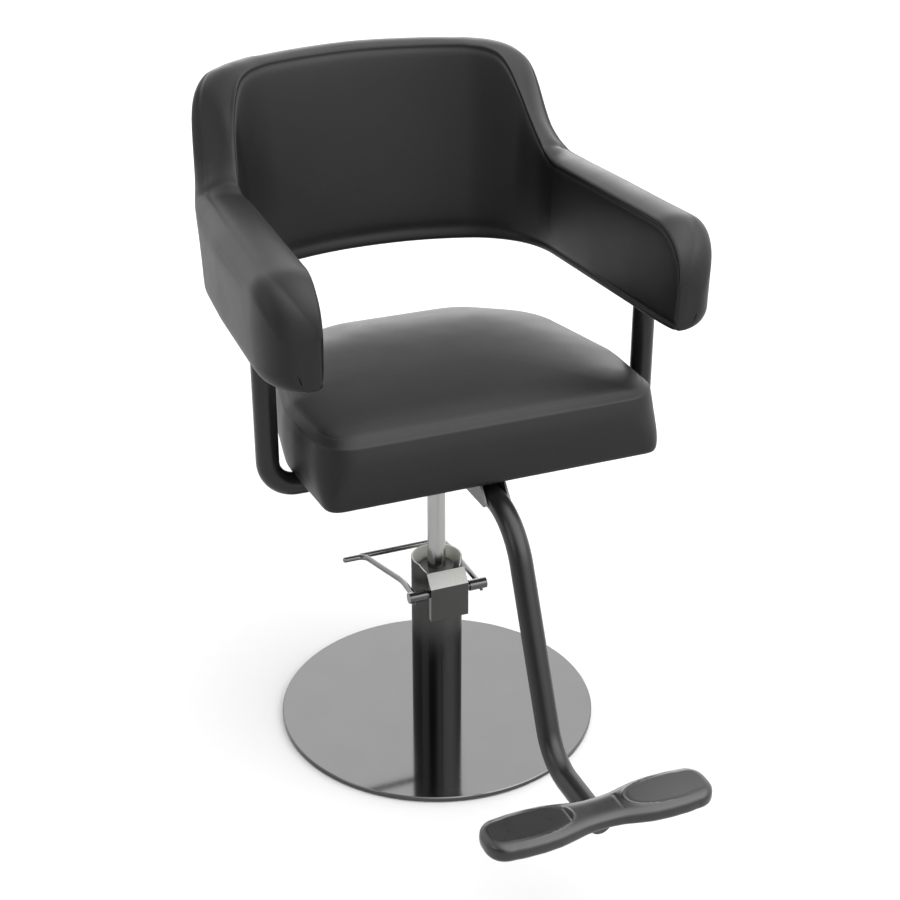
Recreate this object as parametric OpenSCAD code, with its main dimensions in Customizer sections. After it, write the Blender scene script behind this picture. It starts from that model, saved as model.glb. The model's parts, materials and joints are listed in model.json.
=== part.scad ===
// Salon styling chair: a padded wrap of back and arms and a padded seat on a
// hydraulic lift, with a round floor plate, a foot lever and a hanging footrest.
// Z is up, the floor is at z = 0 and the sitter looks along -Y.

/* [Floor plate] */
// Diameter of the round floor plate
base_d = 500; // [440:1:560]
// Thickness of the floor plate
base_t = 7; // [6:0.5:12]
// Bevel on the plate's top rim
base_bevel = 1.2; // [0.5:0.1:2]
// Thickness of the protective pad glued under the plate
pad_t = 2; // [1:0.5:4]
// How far the pad stays inside the plate's edge
pad_inset = 6; // [3:1:20]
// Shank diameter of the screws that hold the pump to the plate
base_screw_d = 8; // [6:0.5:8.5]
// Diameter of the circle on which these screws stand
base_screw_pcd = 54; // [48:1:56]
// Depth of their countersunk heads
base_screw_head_h = 4.4; // [3:0.1:5]
// How deep these screws reach into the pump's foot
base_screw_grip = 10; // [6:0.5:12]

/* [Pump column] */
// Outer diameter of the chrome sleeve
column_d = 79; // [74:0.5:90]
// Wall of the chrome sleeve
column_wall = 2; // [1.5:0.1:3]
// Height of the sleeve above the floor plate
column_h = 272; // [240:1:300]
// Width of the slot in the sleeve's front
slot_w = 46; // [40:1:50]
// Depth of that slot, from the sleeve's rim down
slot_h = 86; // [80:1:100]
// How far in front of the column's axis the slanting cut of its rim starts
rim_cut_y = 15; // [12:0.5:20]
// Slope of that cut, in degrees
rim_cut_slope = 42; // [30:1:50]

/* [Hydraulic cylinder] */
// Thickness of the pump's foot
foot_h = 14; // [12:0.5:20]
// Outer diameter of the pressure cylinder
cylinder_d = 44; // [42:0.5:48]
// Bore of the pressure cylinder
cylinder_bore = 34.4; // [33:0.1:36]
// How far the gland's top lies below the sleeve's rim
gland_drop = 16; // [8:1:26]
// Outer diameter of the gland
gland_d = 54; // [50:0.5:60]
// Height of the gland's rim above the cylinder
gland_lip = 8; // [6:0.5:12]
// Length of the gland's skirt down the cylinder
gland_skirt = 14; // [8:0.5:20]
// Length of the bronze guide bush
guide_l = 26; // [16:1:40]
// Height of the rod seal
seal_h = 6; // [4:0.5:8]
// Height of the piston head
piston_h = 16; // [12:0.5:20]

/* [Lift rod] */
// Diameter of the lift rod
rod_d = 28; // [26:0.5:30]
// Travel of the lift
stroke = 140; // [100:1:140]
// Room left under the piston at the bottom of its travel
stroke_room = 6; // [3:0.5:12]
// Diameter of the spigot on top of the rod
spigot_d = 22; // [18:0.5:23]
// Thickness of the thrust washer on the rod's shoulder
washer_t = 3; // [2:0.5:5]
// Diameter of the thrust washer
washer_d = 40; // [34:0.5:46]

/* [Foot lever] */
// Height of the lever's shaft below the sleeve's rim
shaft_drop = 38; // [34:1:44]
// Distance of the shaft in front of the lift's axis
shaft_y = 44; // [43:0.5:46]
// Diameter of the lever's shaft
shaft_d = 12; // [10:0.5:12.5]
// Overall length of the shaft
shaft_l = 128; // [120:1:140]
// Outer diameter of the collars on the shaft
collar_d = 17; // [15.5:0.5:19]
// Width of each collar
collar_w = 28; // [24:0.5:29]
// Distance from the middle at which the lever's rod joins the collars
lever_arm_x = 54; // [52:0.5:56]
// Diameter of the lever's rod
lever_d = 9; // [7:0.5:10]
// Reach of the crossbar behind the lift's axis
lever_reach = 104; // [95:1:115]
// Sideways reach of the lever's free tip
lever_tip_x = 116; // [108:1:125]
// Distance from the middle at which the splayed arm meets the crossbar
lever_splay_x = 82; // [76:1:88]
// Bend radius of the rod's corners
lever_bend_r = 17; // [12:0.5:22]
// Bend radius where the splayed arm sets off
lever_sweep_r = 60; // [40:1:80]
// Travel of the lever, in degrees
lever_travel = 25; // [15:1:25]

/* [Lever bracket] */
// Outer width of the sheet cover
cover_w = 62; // [58:0.5:66]
// Thickness of the sheet
sheet_t = 2; // [1.5:0.1:2.5]
// Distance of the cover's front face before the lift's axis
cover_y = 54; // [53.5:0.5:58]
// Height of the cover's front face
cover_h = 55; // [50:1:60]
// Rise of the cover's sloping top
cover_rise = 21; // [16:1:26]
// Depth of the cover's sloping top
cover_slope = 18; // [14:1:22]
// Thickness of each bracket cheek
cheek_t = 3; // [2.5:0.1:4]
// Distance between the bracket cheeks
cheek_gap = 48; // [46:0.5:50]

/* [Plunger] */
// Diameter of the pump's plunger
plunger_d = 9; // [7:0.5:9]
// Length of the plunger
plunger_l = 25; // [22:0.5:28]
// Stroke of the plunger over the lever's travel
plunger_stroke = 5; // [3:0.1:5]
// Distance from the shaft to the plunger
finger_l = 12; // [11.5:0.1:12.5]
// Width of the valve block
block_w = 26; // [22:0.5:30]
// Height of the valve block
block_h = 24; // [20:0.5:26]

/* [Swivel] */
// Diameter of the swivel hub
hub_d = 52; // [44:0.5:60]
// Height of the swivel hub
hub_h = 44; // [36:1:50]
// Wall of the hub's bushes
hub_bush_t = 2; // [1.5:0.1:3]
// Length of each of the hub's two bushes
hub_bush_l = 16; // [10:0.5:18]
// Width of the steel plate under the seat
plate_w = 200; // [160:1:220]
// Length of that plate from front to back
plate_l = 170; // [150:1:190]
// Thickness of that plate
plate_t = 5; // [4:0.5:6]
// How far the plate's middle lies behind the lift's axis
plate_back = 25; // [22:1:40]
// Distance of the plate's bolts from its edges
plate_bolt_inset = 18; // [15:1:25]

/* [Seat] */
// Height of the seat's underside, with the lift raised
seat_z = 522; // [516:1:530]
// Greatest width of the seat
seat_w = 514; // [480:1:520]
// How far each side draws in from the widest place to the front corner
seat_front_draw = 7; // [3:0.5:15]
// How far each side draws in from the widest place to where the back corner begins
seat_rear_draw = 37; // [27:1:47]
// Width of the seat's straight back edge, before its corners are rounded
seat_back_w = 220; // [180:1:240]
// Distance of the front edge before the lift's axis
seat_front_y = 228; // [215:1:240]
// Distance of the back edge behind the lift's axis
seat_back_y = 186; // [170:1:200]
// Radius of the front corners
seat_front_r = 50; // [35:1:60]
// Radius of the back corners
seat_back_r = 110; // [80:1:120]
// Height of the seat's side up to its top seam
seat_side_h = 90; // [75:1:100]
// Height of the cushion's crown above the seam
seat_crown = 17; // [8:0.5:25]
// How far the side swells out between its edges
seat_swell = 4; // [0:0.5:6]
// How far the front's lower edge stands out before its top seam
seat_flare = 9; // [0:0.5:12]
// How far the top seam lies inside the side
seat_seam_in = 5; // [3:0.5:8]
// Thickness of the wooden seat board
board_t = 15; // [12:0.5:18]
// How far the seat board stays inside the cushion's side
board_inset = 10; // [8:0.5:20]
// Thickness of the dust cover stapled under the seat
dust_t = 1; // [0.6:0.1:2]

/* [Arm frame] */
// Outer diameter of the steel tubes
tube_d = 32.6; // [30:0.2:33]
// Wall of the steel tubes
tube_wall = 2; // [1.5:0.1:3]
// Clearance between each post and the widest place of the seat
post_gap = 15.7; // [12:0.1:20]
// Distance of the posts before the lift's axis
post_y = 96; // [92:1:100]
// Height of the top of the posts above the seat's underside
post_h = 243; // [230:1:246]
// Bend radius of the frame's lower corners
frame_bend_r = 40; // [34:1:48]
// Distance of each saddle clamp from the middle
clamp_x = 150; // [130:1:180]
// Width of each saddle clamp
clamp_w = 26; // [18:1:34]
// Thickness of the saddle clamps
clamp_t = 3; // [2:0.5:4]
// Thickness of the flanges on top of the posts
flange_t = 5; // [4:0.5:8]
// Length of the flanges on top of the posts
flange_l = 66; // [60:1:76]
// Width of the flanges on top of the posts, beyond the distance from post to hoop
flange_w = 28; // [24:1:32]

/* [Back and arms] */
// Thickness of the padded wrap
wrap_t = 66; // [58:1:70]
// Distance from the arms' inner face at their front to the middle of the posts
post_inset = 39; // [36:0.5:42]
// Distance of the back's inner face behind the lift's axis
wrap_back_y = 254; // [240:1:265]
// Distance of the arms' front ends before the lift's axis
wrap_front_y = 252; // [240:1:260]
// Radius of the back's gentle inner curve
wrap_back_r = 425; // [400:1:500]
// Radius of the inner corners between back and arms
wrap_corner_r = 139; // [125:1:150]
// Angle by which the arms draw in towards the back
wrap_toe = 2.4; // [1.5:0.1:3]
// Height of the wrap's lower edge above the seat's underside
wrap_z = 187; // [185:1:200]
// Height of the arms' inner edge above the wrap's lower edge
arm_h = 143; // [135:1:155]
// Height of the back's inner edge above that of the arms
back_rise = 155; // [140:1:170]
// How much lower the wrap's outer top edge lies than its inner one
top_fall = 3; // [1:0.5:8]
// How far the wrap's top swells up between its edges
top_crown = 3; // [0:0.5:6]
// How far the arms' outer sides swell out
arm_swell = 10; // [0:1:12]
// Lean of the back, in degrees
back_lean = 7.8; // [4:0.1:10]
// Radius of the wrap's lower edges and of its inner top edge
edge_r = 7; // [4:0.5:12]
// Radius of the wrap's outer top edge
outer_edge_r = 22; // [12:0.5:26]
// Radius of the front ends' outer edges
tip_edge_r = 32; // [22:0.5:34]
// Radius of the arms' rounded front ends, seen from the side
tip_r = 62; // [45:1:75]
// How far the front ends slope back towards their lower edge
tip_slope = 6; // [0:1:15]
// Width of the steel hoop inside the wrap
hoop_w = 28; // [24:0.5:30]
// Thickness of the steel hoop
hoop_t = 8; // [5:0.5:10]
// Thickness of the curved back board inside the wrap
back_board_t = 12; // [9:0.5:15]
// Padding left above the back board
board_cover = 34; // [25:1:45]

/* [Footrest] */
// Height of the footrest tube's upper run below the seat's underside
foot_top_drop = 34; // [33:0.5:38]
// Height of the footrest tube's lower run below its upper run
foot_drop = 308; // [290:1:310]
// Distance of the tube's rear end before the lift's axis
foot_root_y = 127; // [125:1:132]
// Distance of the upper bend's corner before the lift's axis
foot_knee_y = 281; // [272:1:290]
// Steepness of the sloping run, in degrees
foot_slope = 65.4; // [60:0.1:72]
// Radius of the upper bend
foot_knee_r = 100; // [80:1:110]
// Radius of the lower bend
foot_toe_r = 70; // [55:1:85]
// Distance of the tube's front end before the lift's axis
foot_reach = 562; // [558:1:576]
// Width of the footrest pad
rest_w = 328; // [300:1:360]
// Depth of the footrest pad's lobes
rest_depth = 74; // [70:1:80]
// Thickness of the footrest pad
rest_t = 31; // [26:0.5:36]
// Distance of the pad's middle before the lift's axis
rest_y = 554; // [548:1:559]
// Height of the pad's middle above the tube's axis
rest_lift = 9.5; // [8:0.5:12]

/* [Fasteners and fits] */
// Shank diameter of the bolts
bolt_d = 8; // [6:0.5:8]
// Width across the bolts' round heads
bolt_head_d = 14; // [12:0.5:15]
// Height of the bolts' heads
bolt_head_h = 5; // [4:0.5:6]
// Shank diameter of the screws
screw_d = 5; // [4:0.5:5]
// Diameter of the screws' heads
screw_head_d = 10; // [8:0.5:10]
// Height of the screws' heads
screw_head_h = 3; // [2.5:0.1:3.5]
// Radial play of parts that turn or slide in each other
running_play = 0.05; // [0.02:0.01:0.08]
// Radial play round parts that are only assembled
fit_play = 0.15; // [0.1:0.05:0.3]
// Gap that padding keeps from what it is sewn round
pad_play = 0.3; // [0.2:0.05:0.5]
// Gap between a moving part and the seat it rests on
rest_gap = 0.2; // [0.1:0.05:0.3]

/* [Hidden] */
$fn = 64;
overrun = base_t;

// Widths that follow the seat's: its corners, the posts beside it and the arms on the posts
seat_front_w = seat_w - seat_front_draw * 2;
seat_rear_w = seat_w - seat_rear_draw * 2;
post_x = seat_w / 2 + post_gap + tube_d / 2;
wrap_inner_w = (post_x - post_inset) * 2;

// Heights of the fixed stand
plate_top = pad_t + base_t;
rim_z = plate_top + column_h;
foot_top = plate_top + foot_h;
gland_top = rim_z - gland_drop;
cylinder_top = gland_top - gland_lip;
shaft_z = rim_z - shaft_drop;
plunger_y = shaft_y - finger_l;

// The finger is a round nose on the shaft's rear side
finger_nose_d = shaft_d * 2 / 3;
finger_hub_d = shaft_d * 5 / 4;
finger_drop = shaft_d * 0.31;
plunger_top = shaft_z - finger_drop - finger_nose_d / 2 - rest_gap * 3 / 2;
plunger_foot = plunger_top - plunger_l;
block_top = plunger_top - plunger_stroke * 2;
block_foot = block_top - block_h;
plunger_collar_h = plunger_stroke / 2;

// Heights of the lift and of what it carries
head_z = foot_top + stroke + stroke_room;
plate_z = seat_z - dust_t - plate_t;
hub_z = plate_z - hub_h;
shoulder_z = hub_z - rest_gap - washer_t;
ring_t = hub_bush_t * 3 / 4;
spigot_top = plate_z + ring_t * 2;
hub_bore_d = spigot_d + running_play * 2 + hub_bush_t * 2;
plate_eye_d = spigot_d + ring_t * 8;
tee_nut_d = bolt_d * 1.35;
tee_flange_d = bolt_d * 2.4;
tee_flange_t = board_t / 10;

// Places of the seat plate's bolts
plate_bolts = [
    for (sx = [-1, 1], sy = [-1, 1])
        [sx * (plate_w / 2 - plate_bolt_inset), plate_back + sy * (plate_l / 2 - plate_bolt_inset)]
];

// Heights and places of the arm frame
under_z = seat_z - dust_t;
cross_z = under_z - tube_d / 2;
post_top = seat_z + post_h;
hoop_z = post_top + flange_t;
wrap_bottom = seat_z + wrap_z;
hoop_bolt_y = flange_l / 2 - bolt_d;
clamp_foot = tube_d / 2 + clamp_t + screw_head_d * 1.6;
clamp_screw_y = (tube_d / 2 + clamp_t + clamp_foot) / 2;

// Route of the footrest tube, from the seat to its front end
foot_top_z = seat_z - foot_top_drop;
foot_low_z = foot_top_z - foot_drop;
foot_toe_y = foot_knee_y + foot_drop / tan(foot_slope);
foot_path = [
    [-foot_root_y, foot_top_z], [-foot_knee_y, foot_top_z], [-foot_toe_y, foot_low_z],
    [-foot_reach, foot_low_z]
];
bracket_t = plate_t * 4 / 5;
bracket_w = tube_d + (bolt_head_d + cheek_t) * 2.6;
bracket_rear_y = foot_root_y + tube_d * 0.8;
bracket_front_y = seat_front_y - board_inset - seat_front_r / 10;
bracket_bolts = [
    for (sx = [-1, 1], y = [bracket_rear_y + bolt_head_d * 0.7, bracket_front_y - bolt_head_d * 0.7])
        [sx * (bracket_w / 2 - bolt_head_d * 0.62), -y]
];
rest_z = foot_low_z + rest_lift;
rest_screw_ys = [rest_y - rest_depth / 24, rest_y - rest_depth / 4.5];

// Unit vector from one point to another
function toward(a, b) = (b - a) / norm(b - a);
// Angle through which a path turns at b
function turn_at(a, b, c) = acos(toward(a, b) * toward(b, c));
// Length that a bend takes off the straights beside it
function bend_cut(a, b, c, r) = r * tan(turn_at(a, b, c) / 2);
// Side to which a path turns: 1 is to the left, -1 to the right
function bend_side(a, b, c) = sign((b - a).x * (c - b).y - (b - a).y * (c - b).x);

// Section of a round bar, or of a tube where there is a bore
module bar_section(d, bore) {
    difference() {
        circle(d = d);
        if (bore > 0)
            circle(d = bore);
    }
}

// A round bar or tube in the XY plane along a path of straights, with its corners bent
module bent_bar(path, radii, d, bore = 0) {
    last = len(path) - 1;
    for (i = [0 : last - 1]) {
        a = path[i];
        b = path[i + 1];
        cut_a = i == 0 ? 0 : bend_cut(path[i - 1], a, b, radii[i - 1]);
        cut_b = i == last - 1 ? 0 : bend_cut(a, b, path[i + 2], radii[i]);
        start = a + toward(a, b) * cut_a;
        translate([start.x, start.y, 0])
            rotate([0, 90, atan2(b.y - a.y, b.x - a.x)])
                linear_extrude(norm(b - a) - cut_a - cut_b)
                    bar_section(d, bore);
    }
    if (last > 1)
        for (i = [1 : last - 1])
            bar_bend(path[i - 1], path[i], path[i + 1], radii[i - 1], d, bore);
}

// One bend of such a bar, a hair slimmer than the straights and let into their ends
bend_step = tube_wall / 20;
bend_overlap = tube_wall / 2;
module bar_bend(a, b, c, r, d, bore) {
    cut = bend_cut(a, b, c, r);
    before = b - toward(a, b) * cut;
    after = b + toward(b, c) * cut;
    inward = toward(b, c) - toward(a, b);
    centre = b + inward / norm(inward) * r / cos(turn_at(a, b, c) / 2);
    first = bend_side(a, b, c) > 0 ? before : after;
    extra = atan(bend_overlap / r);
    translate([centre.x, centre.y, 0])
        rotate([0, 0, atan2(first.y - centre.y, first.x - centre.x) - extra])
            rotate_extrude(angle = turn_at(a, b, c) + extra * 2)
                translate([r, 0])
                    bar_section(d - bend_step * 2, bore == 0 ? 0 : bore + bend_step * 2);
}

// A ring, or a pipe, standing on z = 0
module ring(outer_d, inner_d, h) {
    rotate_extrude()
        translate([inner_d / 2, 0])
            square([(outer_d - inner_d) / 2, h]);
}

// A bolt or screw with its head below z = 0 and its shank above
module fastener(shank_d, shank_l, head_d, head_h) {
    translate([0, 0, -head_h])
        cylinder(d = head_d, h = head_h, $fn = 32);
    cylinder(d = shank_d, h = shank_l, $fn = 32);
}

// Turns the XY plane into the YZ plane, so that x becomes y and y becomes z
module in_side_plane() {
    rotate([90, 0, 90])
        children();
}

// Faces of a skin over rings of points, with n points in each, closed at both ends by fans
function skin_faces(rings, n) = concat(
    [for (i = [0 : rings - 2], j = [0 : n - 1]) [i * n + j, (i + 1) * n + j, i * n + (j + 1) % n]],
    [for (i = [0 : rings - 2], j = [0 : n - 1])
        [i * n + (j + 1) % n, (i + 1) * n + j, (i + 1) * n + (j + 1) % n]],
    [for (j = [1 : n - 2]) [0, j, j + 1]],
    [for (j = [1 : n - 2]) [(rings - 1) * n, (rings - 1) * n + j + 1, (rings - 1) * n + j]]
);

module skin(rings) {
    polyhedron(
        points = [for (r = rings, p = r) p],
        faces = skin_faces(len(rings), len(rings[0])),
        convexity = 8
    );
}

// Points of one rounded corner at b, grown outwards by d, on a path that turns left
function corner_points(a, b, c, r, d, steps) =
    let (
        inward = toward(b, c) - toward(a, b),
        turn = turn_at(a, b, c),
        centre = b + inward / norm(inward) * r / cos(turn / 2),
        start = atan2(toward(a, b).y, toward(a, b).x) - 90
    )
    [for (k = [0 : steps]) centre + (r + d) * [cos(start + turn * k / steps), sin(start + turn * k / steps)]];

// Outline with rounded corners, grown outwards by d
function rounded_outline(points, radii, d, steps) = [
    for (i = [0 : len(points) - 1])
        each corner_points(
            points[(i + len(points) - 1) % len(points)], points[i],
            points[(i + 1) % len(points)], radii[i], d, steps
        )
];

// Corners of the seat's plan, from the front right one round to the left
seat_wide_y = seat_front_y / 3;
seat_turn_y = seat_back_y * 0.6;
seat_corners = [
    [seat_front_w / 2, -seat_front_y], [seat_w / 2, -seat_wide_y], [seat_rear_w / 2, seat_turn_y],
    [seat_back_w / 2, seat_back_y], [-seat_back_w / 2, seat_back_y], [-seat_rear_w / 2, seat_turn_y],
    [-seat_w / 2, -seat_wide_y], [-seat_front_w / 2, -seat_front_y]
];
seat_radii = [
    seat_front_r, seat_back_r, seat_back_r, seat_back_r, seat_back_r, seat_back_r, seat_back_r,
    seat_front_r
];
seat_corner_steps = 5;
function seat_outline(d) = rounded_outline(seat_corners, seat_radii, d, seat_corner_steps);

// The cushion's side, as shares of its height and of its swell, and its crown, as shares
seat_side_shares = [[0, -0.7], [0.04, 0], [0.25, 0.75], [0.5, 1], [0.75, 0.75], [0.93, 0]];
seat_crown_shares = [
    [1, 0], [0.985, 0.22], [0.95, 0.42], [0.87, 0.62], [0.72, 0.8], [0.5, 0.92], [0.25, 0.98],
    [0.06, 1]
];
function flare_at(y, height_share) = seat_flare * (1 - height_share) * min(0, y / seat_front_y);
seat_rings = concat(
    [for (s = seat_side_shares)
        [for (p = seat_outline(seat_swell * s[1]))
            [p.x, p.y + flare_at(p.y, s[0]), seat_z + seat_side_h * s[0]]]],
    [for (s = seat_crown_shares)
        [for (p = seat_outline(-seat_seam_in))
            [p.x * s[0], p.y * s[0], seat_z + seat_side_h + seat_crown * s[1]]]]
);

// Plan of the wrap's middle surface: a back arc, a corner arc and a straight arm on each side
half_t = wrap_t / 2;
back_mid_r = wrap_back_r + half_t;
corner_mid_r = wrap_corner_r + half_t;
back_centre_y = wrap_back_y - wrap_back_r;
arc_gap = wrap_back_r - wrap_corner_r;
toe_tan = tan(wrap_toe);
// The corner's centre keeps its distance from the arm's line and from the back's centre
line_x = wrap_inner_w / 2 - wrap_front_y * toe_tan - wrap_corner_r / cos(wrap_toe);
quad_a = 1 + toe_tan * toe_tan;
quad_b = -line_x * toe_tan - back_centre_y;
quad_c = line_x * line_x + back_centre_y * back_centre_y - arc_gap * arc_gap;
corner_y = (-quad_b + sqrt(quad_b * quad_b - quad_a * quad_c)) / quad_a;
corner_x = line_x - corner_y * toe_tan;
back_turn = asin(corner_x / arc_gap);
arm_turn = 90 - wrap_toe;
arm_root_y = corner_y + corner_mid_r * cos(arm_turn);
arm_root_x = corner_x + corner_mid_r * sin(arm_turn);
arm_run = (wrap_front_y + arm_root_y) / cos(wrap_toe);

// Rise of the wrap's inner and outer top edges over the arms, as shares, against the heading
inner_rise_shares = [
    [0, 1], [19, 0.987], [30, 0.961], [36, 0.923], [40, 0.858], [44, 0.748], [48, 0.606],
    [55, 0.387], [63, 0.194], [71, 0.052], [78, 0.006], [84, 0]
];
outer_rise_shares = [
    [0, 1], [20, 0.981], [30, 0.968], [37, 0.942], [41, 0.903], [45, 0.839], [48, 0.742],
    [51, 0.568], [54, 0.394], [58, 0.219], [64, 0.09], [70, 0.019], [76, 0], [84, 0]
];
// Lean of the wrap, as shares, against its heading in degrees
lean_shares = [[0, 1], [50, 1], [70, 0.6], [88, 0]];

// Headings at which the back arc and the corner arc are cut
back_cuts = [for (k = [0 : 3]) back_turn * k / 3];
corner_cuts = [for (k = [1 : 16]) back_turn + (arm_turn - back_turn) * k / 16];
// Places along the arm where it is cut, as shares of its run before the rounded tip
arm_cut_shares = [0.35, 0.7, 1];
tip_cuts = [18, 36, 54, 70, 82, 90];

// Swell of the outer side, as shares, against the heading in degrees
swell_shares = [[62, 0], [80, 0.35], [88, 0.7]];

// One cut through the wrap: place, outward heading, angle round the tip, share of the swell
function arc_cut(a) = a <= back_turn
    ? [[back_mid_r * sin(a), back_centre_y + back_mid_r * cos(a)], a, 0, 0]
    : [
        [corner_x + corner_mid_r * sin(a), corner_y + corner_mid_r * cos(a)], a, 0,
        lookup(a, swell_shares)
    ];
function arm_cut(run, tip_angle) = [
    [arm_root_x + run * sin(wrap_toe), arm_root_y - run * cos(wrap_toe)], arm_turn, tip_angle, 1
];
wrap_half_cuts = concat(
    [for (a = back_cuts) arc_cut(a)],
    [for (a = corner_cuts) arc_cut(a)],
    [for (s = arm_cut_shares) arm_cut((arm_run - tip_r) * s, 0)],
    [for (t = tip_cuts) arm_cut(arm_run - tip_r + tip_r * sin(t), t)]
);
function mirrored_cuts(cuts) = [for (i = [len(cuts) - 1 : -1 : 1])
    [[-cuts[i][0].x, cuts[i][0].y], -cuts[i][1], cuts[i][2], cuts[i][3]]];
function both_sides(cuts) = concat(mirrored_cuts(cuts), cuts);

// Places a section point, given outwards by u and upwards by z, at a cut
function wrap_point(cut, u, z) =
    let (
        heading = [sin(cut[1]), cos(cut[1])],
        along = [-cos(cut[1]), sin(cut[1])] * (cut[1] < 0 ? -1 : 1),
        lean = tan(back_lean) * lookup(abs(cut[1]), lean_shares) * (z - wrap_bottom),
        slope = tip_slope * sin(cut[2]) * (1 - (z - wrap_bottom) / arm_h),
        p = cut[0] + heading * (u + lean) + along * slope
    )
    [p.x, p.y, z];

// Heights of the wrap's inner and outer top edges at a cut, before the tip's rounding
function inner_top(cut) = wrap_bottom + arm_h + back_rise * lookup(abs(cut[1]), inner_rise_shares);
function outer_top(cut) =
    wrap_bottom + arm_h - top_fall + back_rise * lookup(abs(cut[1]), outer_rise_shares);

// Quarter round of a section's corner, with its middle at c
section_steps = 3;
function quarter(c, r, start) = [
    for (k = [0 : section_steps])
        c + r * [cos(start + 90 * k / section_steps), sin(start + 90 * k / section_steps)]
];

// The padded section at a cut, drawn in and rounded over the tip
tip_draw_share = 0.95;
inner_draw_share = 0.08;
function padded_section(cut) =
    let (
        round_in = 1 - cos(cut[2]),
        fall = tip_r * round_in,
        top_in = inner_top(cut) - fall,
        top_out = outer_top(cut) - fall,
        foot = wrap_bottom + edge_r * round_in / 2,
        outer = half_t + arm_swell * cut[3] * cos(cut[2]) - tip_edge_r * tip_draw_share * round_in,
        inner = -half_t + tip_edge_r * inner_draw_share * round_in,
        ro = min(
            outer_edge_r + (tip_edge_r - outer_edge_r) * sin(cut[2]), outer - inner - edge_r * 1.5
        ),
        ri = edge_r
    )
    [for (q = concat(
        quarter([outer - ro, top_out - ro], ro, 0),
        [[(outer + inner) / 2, (top_in + top_out) / 2 + top_crown]],
        quarter([inner + ri, top_in - ri], ri, 90),
        quarter([inner + ri, foot + ri], ri, 180),
        quarter([outer - ri, foot + ri], ri, 270)
    )) wrap_point(cut, q.x, q.y)];

// A plain rectangular section at a cut
function box_section(cut, u0, u1, z0, z1) = [
    for (q = [[u1, z0], [u1, z1], [u0, z1], [u0, z0]]) wrap_point(cut, q.x, q.y)
];
// The hoop runs from arm to arm, and stops short of the rounded tips
hoop_cuts = both_sides(concat(
    [for (a = back_cuts) arc_cut(a)],
    [for (k = [2 : 2 : len(corner_cuts)]) arc_cut(corner_cuts[k - 1])],
    [arm_cut(arm_run - tip_r - tip_edge_r, 0)]
));
// The back board spans the high part of the back
board_turn = 37;
board_cuts = both_sides([for (k = [0 : 8]) arc_cut(board_turn * k / 8)]);
board_screw_turns = [-30, -12, 12, 30];
function back_board_top(cut) = min(inner_top(cut), outer_top(cut)) - board_cover;

module wrap_box(cuts, grow, half_w, z0, z1) {
    skin([for (c = cuts) box_section(c, -half_w - grow, half_w + grow, z0 - grow, z1 + grow)]);
}
module back_board_form(grow) {
    skin([for (c = board_cuts) box_section(
        c, -back_board_t / 2 - grow, back_board_t / 2 + grow,
        hoop_z + hoop_t, back_board_top(c) + grow
    )]);
}
// Calls its children upright at each screw of the back board, at the hoop's underside
module at_board_screws() {
    for (a = board_screw_turns) {
        cut = arc_cut(abs(a));
        p = wrap_point(cut, 0, hoop_z);
        translate([sign(a) * p.x, p.y, p.z])
            children();
    }
}
// Calls its children at each bolt of the posts' flanges, at the hoop's top
function hoop_x(y) = arm_cut((arm_root_y - y) / cos(wrap_toe), 0)[0].x;
module at_hoop_bolts() {
    for (sx = [-1, 1], sy = [-1, 1]) {
        y = -post_y + sy * hoop_bolt_y;
        translate([sx * hoop_x(y), y, hoop_z + hoop_t])
            children();
    }
}
// The flange on top of a post, reaching from the tube to the hoop
module flange_form(grow) {
    inner_x = hoop_x(-post_y) - flange_w / 2;
    translate([inner_x - grow, -post_y - flange_l / 2 - grow, post_top - grow])
        cube([post_x + tube_d / 2 - inner_x + grow * 2, flange_l + grow * 2, flange_t + grow]);
}
module both_flanges(grow) {
    flange_form(grow);
    mirror([1, 0, 0])
        flange_form(grow);
}

// Floor plate and its fixings
module floor_pad() {
    color("dimgray")
        cylinder(d = base_d - pad_inset * 2, h = pad_t, $fn = 96);
}

module at_base_screws() {
    for (a = [45 : 90 : 315])
        rotate([0, 0, a])
            translate([base_screw_pcd / 2, 0, pad_t])
                children();
}

module base_screw_form(grow, length) {
    cylinder(d1 = base_screw_d * 2 + grow * 2, d2 = base_screw_d + grow * 2, h = base_screw_head_h, $fn = 32);
    cylinder(d = base_screw_d + grow * 2, h = length, $fn = 32);
}

module floor_plate() {
    color("silver")
        difference() {
            translate([0, 0, pad_t])
                rotate_extrude($fn = 128)
                    polygon([
                        [0, 0], [base_d / 2, 0], [base_d / 2, base_t - base_bevel],
                        [base_d / 2 - base_bevel, base_t], [0, base_t]
                    ]);
            at_base_screws()
                base_screw_form(fit_play, base_t + overrun);
        }
}

module base_screws() {
    color("gray")
        at_base_screws()
            base_screw_form(0, base_t + base_screw_grip);
}

// Pump: foot, cylinder, gland and seals
module pump_foot() {
    color("gray")
        difference() {
            translate([0, 0, plate_top])
                cylinder(d = column_d - column_wall * 2 - fit_play * 2, h = foot_h);
            at_base_screws()
                cylinder(d = base_screw_d + fit_play * 2, h = base_t + base_screw_grip + fit_play);
        }
}

module pressure_cylinder() {
    color("darkgray")
        translate([0, 0, foot_top])
            ring(cylinder_d, cylinder_bore, cylinder_top - foot_top);
}

module chrome_column() {
    color("silver")
        difference() {
            translate([0, 0, plate_top])
                ring(column_d, column_d - column_wall * 2, column_h);
            translate([-slot_w / 2, -column_d, rim_z - slot_h])
                cube([slot_w, column_d, slot_h + overrun]);
            in_side_plane()
                linear_extrude(column_d * 2, center = true)
                    polygon([
                        [-rim_cut_y, rim_z],
                        [-column_d, rim_z - (column_d - rim_cut_y) * tan(rim_cut_slope)],
                        [-column_d, rim_z + overrun], [-rim_cut_y, rim_z + overrun]
                    ]);
        }
}

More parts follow.
